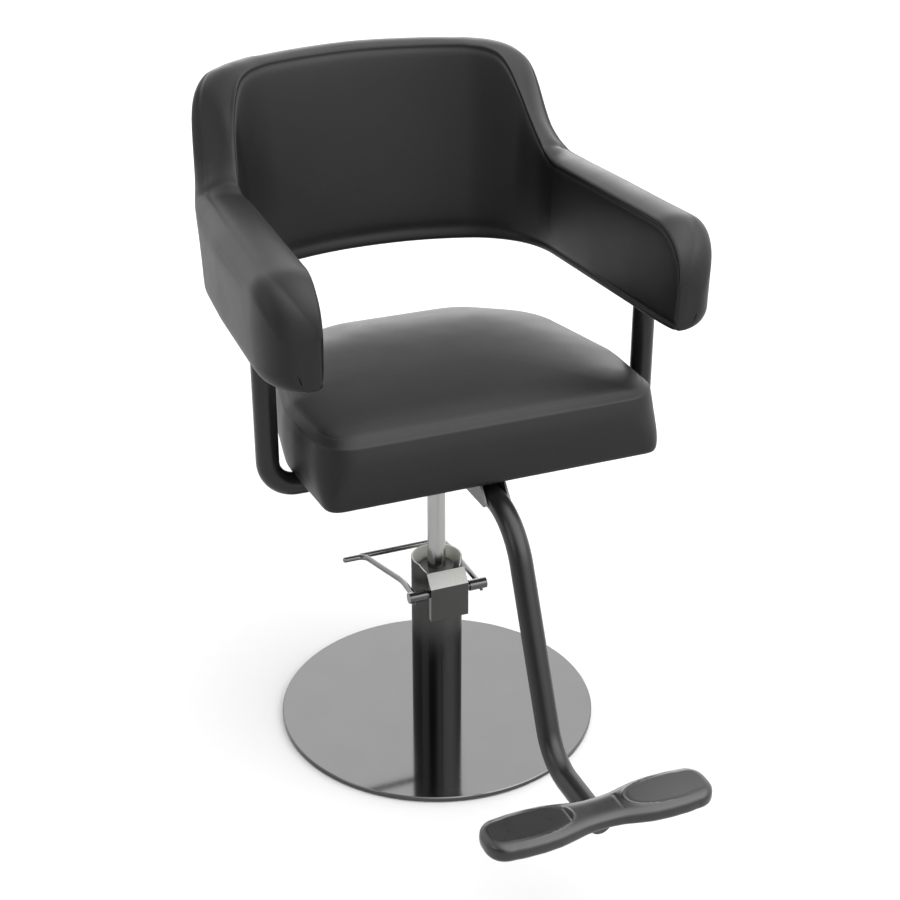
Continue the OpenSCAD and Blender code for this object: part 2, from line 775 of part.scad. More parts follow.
module cylinder_gland() {
    color("dimgray") {
        translate([0, 0, cylinder_top])
            ring(gland_d, rod_d + seal_h, gland_lip);
        translate([0, 0, cylinder_top - gland_skirt])
            ring(gland_d, cylinder_d + fit_play * 2, gland_skirt);
    }
}

module guide_bush() {
    color("peru")
        translate([0, 0, cylinder_top - seal_h - guide_l])
            ring(cylinder_bore - fit_play, rod_d + running_play * 2, guide_l);
}

module rod_seal() {
    color("black")
        translate([0, 0, cylinder_top - seal_h])
            ring(cylinder_bore - fit_play, rod_d + running_play * 2, seal_h);
}

module rod_wiper() {
    color("black")
        translate([0, 0, cylinder_top])
            ring(rod_d + seal_h - fit_play, rod_d + running_play * 2, gland_lip);
}

// Valve block with the plunger's bore, its front in the sleeve's slot
module valve_block() {
    block_front = plunger_y + plunger_d * 0.9;
    color("gray")
        difference() {
            translate([-block_w / 2, -block_front, block_foot])
                cube([block_w, block_front, block_h]);
            translate([0, 0, block_foot - overrun])
                cylinder(d = cylinder_d, h = block_h + overrun * 2);
            translate([0, -plunger_y, plunger_foot - plunger_stroke - rest_gap])
                cylinder(d = plunger_d + running_play * 2, h = block_h);
        }
}

module plunger_spring() {
    color("silver")
        translate([0, -plunger_y, block_top])
            ring(plunger_d * 1.5, plunger_d * 1.15, plunger_top - plunger_collar_h - block_top);
}

module pump_plunger() {
    color("lightgray")
        translate([0, -plunger_y, 0]) {
            translate([0, 0, plunger_foot])
                cylinder(d = plunger_d, h = plunger_l);
            translate([0, 0, plunger_top - plunger_collar_h])
                cylinder(d = plunger_d * 1.5, h = plunger_collar_h);
        }
}

// Bracket that carries the lever's shaft
cheek_back = sqrt(pow(column_d / 2, 2) - pow(cheek_gap / 2 + cheek_t, 2));
cover_top = shaft_z + shaft_d * 0.9;
cover_foot = cover_top - cover_h;
cheek_front = cover_y - sheet_t - fit_play;

module cheek_outline() {
    difference() {
        polygon([
            [-cheek_back / 2, cover_foot], [-cheek_front, cover_foot], [-cheek_front, cover_top - sheet_t],
            [-cheek_front + cover_slope, cover_top + cover_rise - sheet_t],
            [-cheek_back / 2, cover_top + cover_rise - sheet_t]
        ]);
        translate([-shaft_y, shaft_z])
            circle(d = shaft_d + running_play * 2);
    }
}

module bracket_cheeks() {
    color("dimgray")
        difference() {
            for (sx = [-1, 1])
                translate([sx * (cheek_gap + cheek_t) / 2, 0, 0])
                    in_side_plane()
                        linear_extrude(cheek_t, center = true)
                            cheek_outline();
            cylinder(d = column_d, h = rim_z + overrun);
        }
}

module cover_outline() {
    polygon([
        [-cover_y, cover_foot], [-cover_y + sheet_t, cover_foot], [-cover_y + sheet_t, cover_top],
        [-cover_y + cover_slope, cover_top + cover_rise - sheet_t],
        [-cover_y + cover_slope - sheet_t / 2, cover_top + cover_rise],
        [-cover_y, cover_top + sheet_t / 2]
    ]);
}

module bracket_cover() {
    flange_in = cover_w / 2 - cheek_gap / 2 - cheek_t - fit_play;
    color("darkslategray")
        difference() {
            union() {
                in_side_plane()
                    linear_extrude(cover_w, center = true)
                        cover_outline();
                for (sx = [-1, 1])
                    translate([sx * (cover_w - flange_in) / 2, 0, 0])
                        in_side_plane()
                            linear_extrude(flange_in, center = true)
                                translate([-cover_y, cover_foot])
                                    square([sheet_t * 4, cover_h]);
            }
            translate([-cover_w, -shaft_y, shaft_z])
                rotate([0, 90, 0])
                    cylinder(d = shaft_d * 1.2, h = cover_w * 2);
        }
}

// Foot lever: shaft, collars, finger and bent rod
collar_x = shaft_l / 2 - collar_w / 2;

module lever_shaft() {
    color("silver")
        translate([-shaft_l / 2, -shaft_y, shaft_z])
            rotate([0, 90, 0])
                cylinder(d = shaft_d, h = shaft_l);
}

module lever_collars() {
    color("dimgray")
        difference() {
            for (sx = [-1, 1])
                translate([sx * collar_x - collar_w / 2, -shaft_y, shaft_z])
                    rotate([0, 90, 0])
                        ring(collar_d, shaft_d + fit_play * 2, collar_w);
            at_collar_screws()
                cylinder(d = screw_d + fit_play * 2, h = collar_d);
        }
}

module at_collar_screws() {
    for (sx = [-1, 1])
        translate([sx * (shaft_l / 2 - collar_w * 0.3), -shaft_y, shaft_z])
            rotate([160, 0, 0])
                translate([0, 0, shaft_d / 2])
                    children();
}

module collar_screws() {
    color("black")
        at_collar_screws()
            cylinder(d = screw_d, h = (collar_d - shaft_d) / 2 + screw_head_h, $fn = 32);
}

module lever_finger() {
    finger_w = block_w / 2;
    color("gray")
        translate([-finger_w / 2, -shaft_y, shaft_z])
            rotate([90, 0, 90])
                difference() {
                    union() {
                        cylinder(d = finger_hub_d, h = finger_w);
                        translate([finger_l, -finger_drop, 0])
                            cylinder(d = finger_nose_d, h = finger_w, $fn = 32);
                        linear_extrude(finger_w)
                            polygon([
                                [0, finger_hub_d * 0.44], [finger_l, finger_nose_d * 0.46 - finger_drop],
                                [finger_l, -finger_nose_d * 0.46 - finger_drop], [0, -finger_hub_d * 0.44]
                            ]);
                    }
                    translate([0, 0, -overrun])
                        cylinder(d = shaft_d + fit_play * 2, h = finger_w + overrun * 2);
                }
}

splay_start_y = lever_d;
crossbar_y = lever_reach + lever_d / 4;
lever_loop_path = [
    [lever_arm_x, -shaft_y], [lever_arm_x, crossbar_y], [-lever_splay_x - lever_d * 0.7, crossbar_y]
];
lever_arm_path = [
    [-lever_arm_x, -shaft_y], [-lever_arm_x, splay_start_y], [-lever_splay_x, lever_reach],
    [-lever_tip_x, lever_reach]
];

module foot_lever() {
    color("dimgray")
        difference() {
            translate([0, 0, shaft_z]) {
                bent_bar(lever_loop_path, [lever_bend_r], lever_d);
                bent_bar(lever_arm_path, [lever_sweep_r, lever_bend_r], lever_d);
                translate([-lever_tip_x, lever_reach, 0])
                    rotate([0, -90, 0])
                        cylinder(d1 = lever_d, d2 = lever_d / 2, h = lever_d / 4);
            }
            for (sx = [-1, 1])
                translate([sx * collar_x - collar_w, -shaft_y, shaft_z])
                    rotate([0, 90, 0])
                        cylinder(d = collar_d, h = collar_w * 2);
        }
}

// Lift rod and its head
piston_groove_h = piston_h / 3;
piston_groove_d = cylinder_bore - piston_groove_h;

module piston_rod() {
    color("gainsboro")
        rotate_extrude()
            polygon([
                [0, head_z + piston_h], [rod_d / 2, head_z + piston_h], [rod_d / 2, shoulder_z],
                [spigot_d / 2, shoulder_z], [spigot_d / 2, spigot_top], [0, spigot_top]
            ]);
}

module piston_head() {
    piston_d = cylinder_bore - running_play * 2;
    color("gray")
        translate([0, 0, head_z])
            rotate_extrude()
                polygon([
                    [0, 0], [piston_d / 2, 0], [piston_d / 2, piston_groove_h],
                    [piston_groove_d / 2, piston_groove_h], [piston_groove_d / 2, piston_groove_h * 2],
                    [piston_d / 2, piston_groove_h * 2], [piston_d / 2, piston_h], [0, piston_h]
                ]);
}

module piston_seal() {
    color("black")
        translate([0, 0, head_z + piston_groove_h])
            ring(cylinder_bore - running_play, piston_groove_d, piston_groove_h);
}

module thrust_washer() {
    color("peru")
        translate([0, 0, shoulder_z])
            ring(washer_d, spigot_d + running_play * 2, washer_t);
}

module retaining_ring() {
    color("silver")
        translate([0, 0, plate_z + rest_gap])
            ring(spigot_d + ring_t * 5, spigot_d, ring_t);
}

// Swivel hub and seat plate
module swivel_hub() {
    color("dimgray")
        translate([0, 0, hub_z])
            ring(hub_d, hub_bore_d, hub_h);
}

module hub_bushes() {
    color("ivory")
        for (z = [hub_z, hub_z + hub_h - hub_bush_l])
            translate([0, 0, z])
                ring(hub_bore_d, spigot_d + running_play * 2, hub_bush_l);
}

module seat_plate() {
    color("dimgray")
        difference() {
            translate([-plate_w / 2, plate_back - plate_l / 2, plate_z])
                cube([plate_w, plate_l, plate_t]);
            translate([0, 0, plate_z - overrun])
                cylinder(d = plate_eye_d, h = plate_t + overrun * 2);
            for (p = plate_bolts)
                translate([p.x, p.y, plate_z - overrun])
                    cylinder(d = bolt_d + fit_play * 2, h = plate_t + overrun * 2);
        }
}

module seat_plate_bolts() {
    color("silver")
        for (p = plate_bolts)
            translate([p.x, p.y, plate_z])
                fastener(bolt_d, plate_t + dust_t + board_t - tee_flange_t, bolt_head_d, bolt_head_h);
}

module tee_nuts() {
    color("silver")
        for (p = plate_bolts)
            translate([p.x, p.y, seat_z + board_t]) {
                translate([0, 0, -tee_flange_t])
                    ring(tee_flange_d, bolt_d + fit_play * 2, tee_flange_t);
                translate([0, 0, -board_t * 2 / 3])
                    ring(tee_nut_d, bolt_d + fit_play * 2, board_t * 2 / 3);
            }
}

// Calls its children at the underside of the board, for each screw of the saddle clamps
module at_clamp_screws() {
    for (sx = [-1, 1], sy = [-1, 1])
        translate([sx * clamp_x, -post_y + sy * clamp_screw_y, under_z])
            children();
}

module bottom_holes(grow) {
    for (p = plate_bolts)
        translate([p.x, p.y, 0])
            cylinder(d = tee_nut_d + grow * 2, h = seat_z + board_t + overrun);
    for (p = bracket_bolts)
        translate([p.x, p.y, 0])
            cylinder(d = bolt_d + grow * 2, h = seat_z + board_t * 0.8);
    at_clamp_screws()
        cylinder(d = screw_d + grow * 2, h = board_t);
}

module dust_cover() {
    color("black")
        difference() {
            translate([0, 0, under_z])
                linear_extrude(dust_t)
                    polygon(seat_outline(-board_inset * 1.5));
            bottom_holes(fit_play);
        }
}

module seat_board() {
    color("burlywood")
        difference() {
            translate([0, 0, seat_z])
                linear_extrude(board_t)
                    polygon(seat_outline(-board_inset));
            bottom_holes(fit_play);
            for (p = plate_bolts)
                translate([p.x, p.y, seat_z + board_t - tee_flange_t])
                    cylinder(d = tee_flange_d + fit_play * 2, h = board_t);
        }
}

module seat_cushion() {
    color("#2e2e30")
        difference() {
            skin(seat_rings);
            translate([0, 0, seat_z - overrun])
                linear_extrude(overrun + board_t + pad_play)
                    polygon(seat_outline(-board_inset + pad_play));
        }
}

// Arm frame and its clamps
module arm_frame() {
    color("#252525")
        difference() {
            union() {
                translate([0, -post_y, 0])
                    rotate([90, 0, 0])
                        bent_bar(
                            [[-post_x, post_top], [-post_x, cross_z], [post_x, cross_z], [post_x, post_top]],
                            [frame_bend_r, frame_bend_r], tube_d, tube_d - tube_wall * 2
                        );
                both_flanges(0);
            }
            at_hoop_bolts()
                translate([0, 0, -hoop_t - flange_t - overrun])
                    cylinder(d = bolt_d + fit_play * 2, h = flange_t + overrun * 2, $fn = 32);
        }
}

module saddle_clamps() {
    inner_r = tube_d / 2 + fit_play;
    outer_r = inner_r + clamp_t;
    color("gray")
        difference() {
            for (sx = [-1, 1])
                translate([sx * clamp_x, -post_y, cross_z])
                    in_side_plane()
                        linear_extrude(clamp_w, center = true)
                            difference() {
                                union() {
                                    circle(r = outer_r);
                                    translate([-outer_r, 0])
                                        square([outer_r * 2, tube_d / 2]);
                                    translate([-clamp_foot, tube_d / 2 - clamp_t])
                                        square([clamp_foot * 2, clamp_t]);
                                }
                                circle(r = inner_r);
                                translate([-inner_r, 0])
                                    square([inner_r * 2, tube_d]);
                            }
            at_clamp_screws()
                translate([0, 0, -clamp_t - overrun])
                    cylinder(d = screw_d + fit_play * 2, h = clamp_t + overrun * 2, $fn = 32);
        }
}

module clamp_screws() {
    color("silver")
        at_clamp_screws()
            translate([0, 0, -clamp_t])
                fastener(screw_d, clamp_t + dust_t + board_t * 0.8, screw_head_d, screw_head_h);
}

// What the wrap is built on
module wrap_hoop() {
    color("dimgray")
        difference() {
            wrap_box(hoop_cuts, 0, hoop_w / 2, hoop_z, hoop_z + hoop_t);
            at_hoop_bolts()
                translate([0, 0, -hoop_t - overrun])
                    cylinder(d = bolt_d + fit_play * 2, h = hoop_t + overrun * 2, $fn = 24);
            at_board_screws()
                translate([0, 0, -overrun])
                    cylinder(d = screw_d + fit_play * 2, h = hoop_t + overrun * 2, $fn = 24);
        }
}

module hoop_bolt_form(grow) {
    rotate([180, 0, 0])
        fastener(
            bolt_d + grow * 2, hoop_t + flange_t + bolt_d / 2 + grow, bolt_head_d + grow * 2,
            bolt_head_h + grow
        );
}

module hoop_bolts() {
    color("silver")
        at_hoop_bolts()
            hoop_bolt_form(0);
}

module back_board() {
    color("burlywood")
        difference() {
            back_board_form(0);
            at_board_screws()
                cylinder(d = screw_d + fit_play * 2, h = hoop_t * 3 + fit_play, $fn = 24);
        }
}

module back_board_screws() {
    color("silver")
        at_board_screws()
            fastener(screw_d, hoop_t * 3, screw_head_d, screw_head_h);
}

// The padded wrap, hollow for the frame inside it
module back_and_arms() {
    color("#2e2e30")
        difference() {
            skin([for (c = both_sides(wrap_half_cuts)) padded_section(c)]);
            wrap_box(hoop_cuts, pad_play, hoop_w / 2, hoop_z, hoop_z + hoop_t);
            back_board_form(pad_play);
            at_board_screws()
                rotate([180, 0, 0])
                    cylinder(d = screw_head_d + pad_play * 2, h = screw_head_h + pad_play, $fn = 16);
            for (sx = [-1, 1])
                translate([sx * post_x, -post_y, wrap_bottom - overrun])
                    cylinder(
                        d = tube_d + pad_play * 2, h = post_top - wrap_bottom + overrun + pad_play, $fn = 24
                    );
            both_flanges(pad_play);
            at_hoop_bolts()
                union() {
                    cylinder(d = bolt_head_d + pad_play * 2, h = bolt_head_h + pad_play, $fn = 16);
                    translate([0, 0, -hoop_t - flange_t - bolt_d])
                        cylinder(d = bolt_d + pad_play * 2, h = bolt_d * 2, $fn = 16);
                }
        }
}

// Footrest: bracket, tube and pad
module bracket_cheek_outline() {
    polygon([
        [-bracket_rear_y, under_z - bracket_t / 2], [-bracket_front_y + tube_d * 0.45, under_z - bracket_t / 2],
        [-bracket_front_y - tube_d * 0.5, foot_top_z - tube_d * 0.05],
        [-bracket_front_y - tube_d * 0.25, foot_top_z - tube_d / 4],
        [-bracket_rear_y, foot_top_z - tube_d / 4]
    ]);
}

module footrest_bracket() {
    color("silver")
        difference() {
            union() {
                translate([-bracket_w / 2, -bracket_front_y, under_z - bracket_t])
                    cube([bracket_w, bracket_front_y - bracket_rear_y, bracket_t]);
                for (sx = [-1, 1])
                    translate([sx * (tube_d + cheek_t) / 2, 0, 0])
                        in_side_plane()
                            linear_extrude(cheek_t, center = true)
                                bracket_cheek_outline();
            }
            for (p = bracket_bolts)
                translate([p.x, p.y, under_z - bracket_t - overrun])
                    cylinder(d = bolt_d + fit_play * 2, h = bracket_t + overrun * 2);
        }
}

module footrest_bracket_bolts() {
    color("silver")
        for (p = bracket_bolts)
            translate([p.x, p.y, under_z - bracket_t])
                fastener(bolt_d, bracket_t + dust_t + board_t * 0.7, bolt_head_d, bolt_head_h);
}

// Calls its children at the tube's underside, for each screw of the footrest pad
module at_pad_screws() {
    for (y = rest_screw_ys)
        translate([0, -y, foot_low_z - tube_d / 2])
            children();
}

module footrest_tube() {
    color("#252525")
        difference() {
            in_side_plane()
                bent_bar(foot_path, [foot_knee_r, foot_toe_r], tube_d, tube_d - tube_wall * 2);
            at_pad_screws()
                translate([0, 0, -overrun])
                    cylinder(d = screw_d + fit_play * 2, h = tube_d * 2, $fn = 32);
        }
}

module tube_plug() {
    plug_lip = tube_wall;
    rotate([90, 0, 0]) {
        cylinder(d = tube_d, h = plug_lip);
        translate([0, 0, -tube_d / 4])
            cylinder(d = tube_d - tube_wall * 2 - fit_play * 2, h = tube_d / 4 + plug_lip);
    }
}

module tube_plug_rear() {
    color("black")
        translate([0, -foot_root_y, foot_top_z])
            rotate([0, 0, 180])
                tube_plug();
}

module tube_plug_front() {
    color("black")
        translate([0, -foot_reach, foot_low_z])
            tube_plug();
}

// The footrest pad's half: shares of its half width, of its depth and of its thickness
rest_half_shares = [
    [0, 0.68, 0.78], [0.06, 0.68, 0.78], [0.16, 0.72, 0.82], [0.28, 0.84, 0.9], [0.4, 0.95, 0.97],
    [0.55, 1, 1], [0.72, 0.99, 1], [0.84, 0.92, 0.97], [0.92, 0.78, 0.88], [0.97, 0.58, 0.7],
    [1, 0.25, 0.36]
];
rest_shares = concat(
    [for (i = [len(rest_half_shares) - 1 : -1 : 1])
        [-rest_half_shares[i][0], rest_half_shares[i][1], rest_half_shares[i][2]]],
    rest_half_shares
);
rest_points = 20;
// A rounded section: a circle squared up by a power under 1
function squared(v) = sign(v) * pow(abs(v), 0.68);
function rest_ring(s) = [
    for (k = [0 : rest_points - 1])
        let (a = 360 * k / rest_points)
        [
            rest_w / 2 * s[0], -rest_y + rest_depth / 2 * s[1] * squared(cos(a)),
            rest_z + rest_t / 2 * s[2] * squared(sin(a))
        ]
];

module footrest_pad() {
    color("#1f1f1f")
        difference() {
            skin([for (s = rest_shares) rest_ring(s)]);
            translate([0, 0, foot_low_z])
                rotate([90, 0, 0])
                    cylinder(d = tube_d + pad_play * 2, h = foot_reach + tube_wall + pad_play, $fn = 32);
            at_pad_screws()
                cylinder(d = screw_d + fit_play * 2, h = tube_d + rest_t / 12 + fit_play, $fn = 16);
        }
}

module footrest_pad_screws() {
    color("silver")
        at_pad_screws()
            fastener(screw_d, tube_d + rest_t / 12, screw_head_d, screw_head_h);
}

floor_pad();
floor_plate();
base_screws();
pump_foot();
pressure_cylinder();
chrome_column();
cylinder_gland();
guide_bush();
rod_seal();
rod_wiper();
valve_block();
plunger_spring();
bracket_cheeks();
bracket_cover();
pump_plunger();
lever_shaft();
lever_collars();
collar_screws();
lever_finger();
foot_lever();
piston_rod();
piston_head();
piston_seal();
thrust_washer();
retaining_ring();
swivel_hub();
hub_bushes();
seat_plate();
seat_plate_bolts();
tee_nuts();
dust_cover();
seat_board();
seat_cushion();
arm_frame();
saddle_clamps();
clamp_screws();
wrap_hoop();
hoop_bolts();
back_board();
back_board_screws();
back_and_arms();
footrest_bracket();
footrest_bracket_bolts();
footrest_tube();
tube_plug_rear();
tube_plug_front();
footrest_pad();
footrest_pad_screws();
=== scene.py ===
"""Looks of a hydraulic styling chair: padded wrap and seat on a plated pump column.

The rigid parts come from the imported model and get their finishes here. The padded wrap of back and
arms, the seat cushion, the footrest pad and the plunger's spring are made here.
Shapes are in millimetres and turned to metres where a mesh is made. Finishes are in metres.
"""

import json
import logging
import math
from collections.abc import Callable, Sequence
from dataclasses import dataclass, field
from enum import Enum

import bmesh
import bpy
import numpy as np
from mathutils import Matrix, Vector

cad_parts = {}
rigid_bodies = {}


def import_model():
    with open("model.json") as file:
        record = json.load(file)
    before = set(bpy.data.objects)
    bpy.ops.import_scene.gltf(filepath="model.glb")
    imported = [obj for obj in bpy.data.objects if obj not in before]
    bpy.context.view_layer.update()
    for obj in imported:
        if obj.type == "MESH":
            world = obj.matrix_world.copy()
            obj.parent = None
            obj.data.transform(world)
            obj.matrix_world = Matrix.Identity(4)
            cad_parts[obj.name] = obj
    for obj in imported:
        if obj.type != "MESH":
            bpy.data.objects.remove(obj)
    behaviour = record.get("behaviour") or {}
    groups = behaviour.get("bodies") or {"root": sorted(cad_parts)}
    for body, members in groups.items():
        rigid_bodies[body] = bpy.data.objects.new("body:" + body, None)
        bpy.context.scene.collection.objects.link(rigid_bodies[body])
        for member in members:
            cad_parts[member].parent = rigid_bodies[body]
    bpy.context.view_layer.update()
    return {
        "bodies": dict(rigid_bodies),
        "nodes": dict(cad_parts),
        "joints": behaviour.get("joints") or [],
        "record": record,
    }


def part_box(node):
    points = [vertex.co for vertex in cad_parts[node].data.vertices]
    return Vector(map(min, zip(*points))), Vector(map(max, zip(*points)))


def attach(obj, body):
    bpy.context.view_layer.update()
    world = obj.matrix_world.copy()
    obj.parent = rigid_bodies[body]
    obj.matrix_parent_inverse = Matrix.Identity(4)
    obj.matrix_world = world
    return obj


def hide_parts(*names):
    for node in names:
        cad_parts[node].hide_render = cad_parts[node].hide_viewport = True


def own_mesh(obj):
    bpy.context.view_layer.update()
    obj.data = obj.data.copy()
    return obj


MM = 0.001
CLOTH_FRAMES = 20
CALM_ROUNDS = 14
LOG = logging.getLogger("chair")
Colour = tuple[float, float, float]
Place = tuple[float, float, float]
Table = Sequence[tuple[float, float]]


class Value:
    """A number that comes out of a shader node, for use in expressions."""

    def __init__(self, shader: "Shader", socket: bpy.types.NodeSocket) -> None:
        """Wraps an output socket of a material under construction."""
        self.shader = shader
        self.socket = socket

    def _math(self, operation: str, first: object, second: object) -> "Value":
        """Adds a Math node of two operands and returns its value."""
        return self.shader.value("Math", {"operation": operation}, {0: first, 1: second})

    def __add__(self, other: object) -> "Value":
        """self + other."""
        return self._math("ADD", self, other)

    def __sub__(self, other: object) -> "Value":
        """self - other."""
        return self._math("SUBTRACT", self, other)

    def __rsub__(self, other: object) -> "Value":
        """other - self."""
        return self._math("SUBTRACT", other, self)

    def __mul__(self, other: object) -> "Value":
        """self * other."""
        return self._math("MULTIPLY", self, other)

    def __pow__(self, other: object) -> "Value":
        """self to the power of other."""
        return self._math("POWER", self, other)


class Shader:
    """One material under construction, with its surface shader."""

    def __init__(self, name: str) -> None:
        """Starts an empty material of that name."""
        self.material = bpy.data.materials.new(name)
        self.material.use_nodes = True
        self.tree = self.material.node_tree
        self.tree.nodes.clear()
        self.surface = self.node("BsdfPrincipled")
        self.node("OutputMaterial", {}, {"Surface": self.surface.outputs["BSDF"]})

    def node(
        self,
        kind: str,
        settings: dict[str, object] | None = None,
        values: dict[object, object] | None = None,
    ) -> bpy.types.Node:
        """Adds a node, sets its settings and then its inputs.

        Args:
            kind: Node type without its ShaderNode prefix.
            settings: Properties to set first.
            values: Input name or number to a constant, a Value or a socket.

        Returns:
            The new node.
        """
        node = self.tree.nodes.new("ShaderNode" + kind)
        for key, setting in (settings or {}).items():
            setattr(node, key, setting)
        self._feed(node, values or {})
        return node

    def _feed(self, node: bpy.types.Node, values: dict[object, object]) -> None:
        """Sets a node's inputs to constants, Values or sockets."""
        for key, value in values.items():
            socket = node.inputs[key]
            if isinstance(value, Value):
                self.tree.links.new(value.socket, socket)
            elif isinstance(value, bpy.types.NodeSocket):
                self.tree.links.new(value, socket)
            else:
                socket.default_value = value

    def value(
        self,
        kind: str,
        settings: dict[str, object],
        values: dict[object, object],
        output: str | int = 0,
    ) -> Value:
        """Adds a node as node() does and returns one of its outputs as a Value."""
        return Value(self, self.node(kind, settings, values).outputs[output])

    def place(self) -> bpy.types.NodeSocket:
        """Returns the object coordinates, in metres."""
        return self.node("TexCoord").outputs["Object"]

    def axes(self, vector: bpy.types.NodeSocket) -> list[Value]:
        """Returns x, y and z of a vector."""
        split = self.node("SeparateXYZ", {}, {0: vector})
        return [Value(self, output) for output in split.outputs]

    def noise(self, scale: float, detail: float = 3.0, roughness: float = 0.55) -> Value:
        """Returns fractal noise on the object coordinates.

        Args:
            scale: Waves per metre.
            detail: Number of octaves.
            roughness: Weight of the fine octaves.
        """
        values = {"Vector": self.place(), "Scale": scale, "Detail": detail, "Roughness": roughness}
        return self.value("TexNoise", {}, values, "Fac")

    def sine(self, phase: Value) -> Value:
        """Returns the sine of a phase."""
        return self.value("Math", {"operation": "SINE"}, {0: phase})

    def band(self, amount: Value, low: float, high: float) -> Value:
        """Returns 0 below low, 1 above high and a smooth step between."""
        values = {"Value": amount, "From Min": low, "From Max": high}
        return self.value("MapRange", {"interpolation_type": "SMOOTHSTEP"}, values)

    def mix(self, factor: Value, first: object, second: object) -> bpy.types.NodeSocket:
        """Returns first where the factor is 0 and second where it is 1; both are colours or sockets."""
        ends = [(*tone, 1) if isinstance(tone, tuple) else tone for tone in (first, second)]
        values = {"Factor": factor, 6: ends[0], 7: ends[1]}
        return self.node("Mix", {"data_type": "RGBA"}, values).outputs[2]

    def bump(
        self, height: Value, depth: float, after: bpy.types.NodeSocket | None = None
    ) -> bpy.types.NodeSocket:
        """Returns a normal bent by a height.

        Args:
            height: Height from 0 to 1.
            depth: Depth of the relief in metres.
            after: A normal that the relief is laid on.
        """
        values: dict[object, object] = {"Height": height, "Distance": depth, "Strength": 1.0}
        if after is not None:
            values["Normal"] = after
        return self.node("Bump", {}, values).outputs["Normal"]

    def finish(self, values: dict[object, object]) -> bpy.types.Material:
        """Sets the surface's sockets to constants, Values or sockets and returns the material."""
        self._feed(self.surface, values)
        return self.material


def scaled(colour: Colour, amount: float) -> Colour:
    """Returns a colour made lighter or darker."""
    return tuple(min(1.0, c * amount) for c in colour)


@dataclass(frozen=True)
class Vinyl:
    """Coated upholstery fabric with a fine pressed grain, puckers beside its seams and painted shade
    along them.
    """

    name: str
    colour: Colour
    roughness: float = 0.42
    grain: float = 720.0
    grain_depth: float = 0.00012
    crease_depth: float = 0.0007
    pucker_depth: float = 0.00003
    puckers: float = 760.0
    shine: float = 0.21

    def make(self) -> bpy.types.Material:
        """Returns the material."""
        shader = Shader(self.name)
        cells = shader.value(
            "TexVoronoi", {"feature": "SMOOTH_F1"},
            {"Vector": shader.place(), "Scale": self.grain, "Smoothness": 0.35}, "Distance",
        )
        pores = shader.noise(self.grain * 2.1, 2.0)
        broad = shader.noise(9.0, 2.0)
        creases = shader.noise(38.0, 3.0, 0.5)
        tone = shader.noise(16.0, 4.0)
        near = shader.value("Attribute", {"attribute_name": "seam_gap"}, {}, "Fac")
        run = shader.value("Attribute", {"attribute_name": "seam_run"}, {}, "Fac")
        wave = shader.sine(run * self.puckers + creases * 9)
        normal = shader.bump(broad * 0.7 + creases * 0.12, self.crease_depth)
        fade = 1 - shader.band(near, 0.001, 0.010)
        normal = shader.bump((wave * 0.5 + 0.5) * fade, self.pucker_depth, normal)
        normal = shader.bump(cells * 0.8 + pores * 0.2, self.grain_depth, normal)
        # Painted shade: the colour darkens within 4 mm of a seam, in the pressed seam grooves.
        painted_seam_shade = (1 - shader.band(near, 0.0, 0.004)) * 0.6
        shade = tone * 0.5 + cells * 0.25 + 0.1
        colour = shader.mix(shade, scaled(self.colour, 0.82), scaled(self.colour, 1.22))
        return shader.finish({
            "Base Color": shader.mix(painted_seam_shade, colour, scaled(self.colour, 0.35)),
            "Roughness": tone * 0.12 + cells * 0.08 + (self.roughness - 0.08),
            "Normal": normal,
            "Specular IOR Level": self.shine,
        })


@dataclass(frozen=True)
class Plating:
    """Polished or satin metal with faint polishing marks and smudges."""

    name: str
    colour: Colour
    roughness: float
    mark_depth: float = 0.000004
    smudge: float = 0.05

    def make(self) -> bpy.types.Material:
        """Returns the material."""
        shader = Shader(self.name)
        smudges = shader.noise(14.0, 4.0, 0.6)
        return shader.finish({
            "Metallic": 1.0,
            "Base Color": shader.mix(smudges, scaled(self.colour, 0.94), scaled(self.colour, 1.06)),
            "Roughness": smudges * self.smudge + (self.roughness - self.smudge * 0.4),
            "Normal": shader.bump(shader.noise(900.0, 2.0), self.mark_depth),
        })


@dataclass(frozen=True)
class DiscPlating:
    """Mirror plate with faint smudges and a rougher rim painted darker, as painted shade that dims the
    bevel's reflection.
    """

    name: str
    face: Colour
    edge: Colour
    roughness: float
    edge_radius: float
    blur: float = 0.0003

    def make(self) -> bpy.types.Material:
        """Returns the material."""
        shader = Shader(self.name)
        x, y, _ = shader.axes(shader.place())
        radius = (x * x + y * y) ** 0.5
        smudges = shader.noise(14.0, 4.0, 0.6)
        face = shader.mix(smudges, scaled(self.face, 0.95), scaled(self.face, 1.05))
        # Beyond edge_radius the colour turns darker: painted shade on the rim's bevel in place of the
        # bright floor it reflects.
        rim = shader.band(radius, self.edge_radius - self.blur, self.edge_radius + self.blur)
        return shader.finish({
            "Metallic": 1.0,
            "Base Color": shader.mix(rim, face, self.edge),
            "Roughness": smudges * 0.03 + rim * 0.15 + (self.roughness - 0.012),
            "Normal": shader.bump(shader.noise(900.0, 2.0), 0.000002),
        })


@dataclass(frozen=True)
class FoldedSheet:
    """Plated sheet whose sloping top has a paler colour as a painted highlight and whose front stays
    dark.
    """

    name: str
    top: Colour
    front: Colour
    fold_height: float
    blur: float = 0.0003

    def make(self) -> bpy.types.Material:
        """Returns the material."""
        shader = Shader(self.name)
        height = shader.axes(shader.place())[2]
        # Above the fold the colour is paler, a painted highlight of the bright room the top faces, and
        # the finish is rougher.
        above = shader.band(height, self.fold_height - self.blur, self.fold_height + self.blur)
        grain = shader.noise(260.0, 4.0, 0.6)
        top = shader.mix(grain, scaled(self.top, 0.85), scaled(self.top, 1.12))
        return shader.finish({
            "Metallic": 1.0,
            "Base Color": shader.mix(above, self.front, top),
            "Roughness": above * 0.14 + grain * 0.05 + 0.12,
            "Normal": shader.bump(shader.noise(700.0, 2.0), 0.000004),
        })


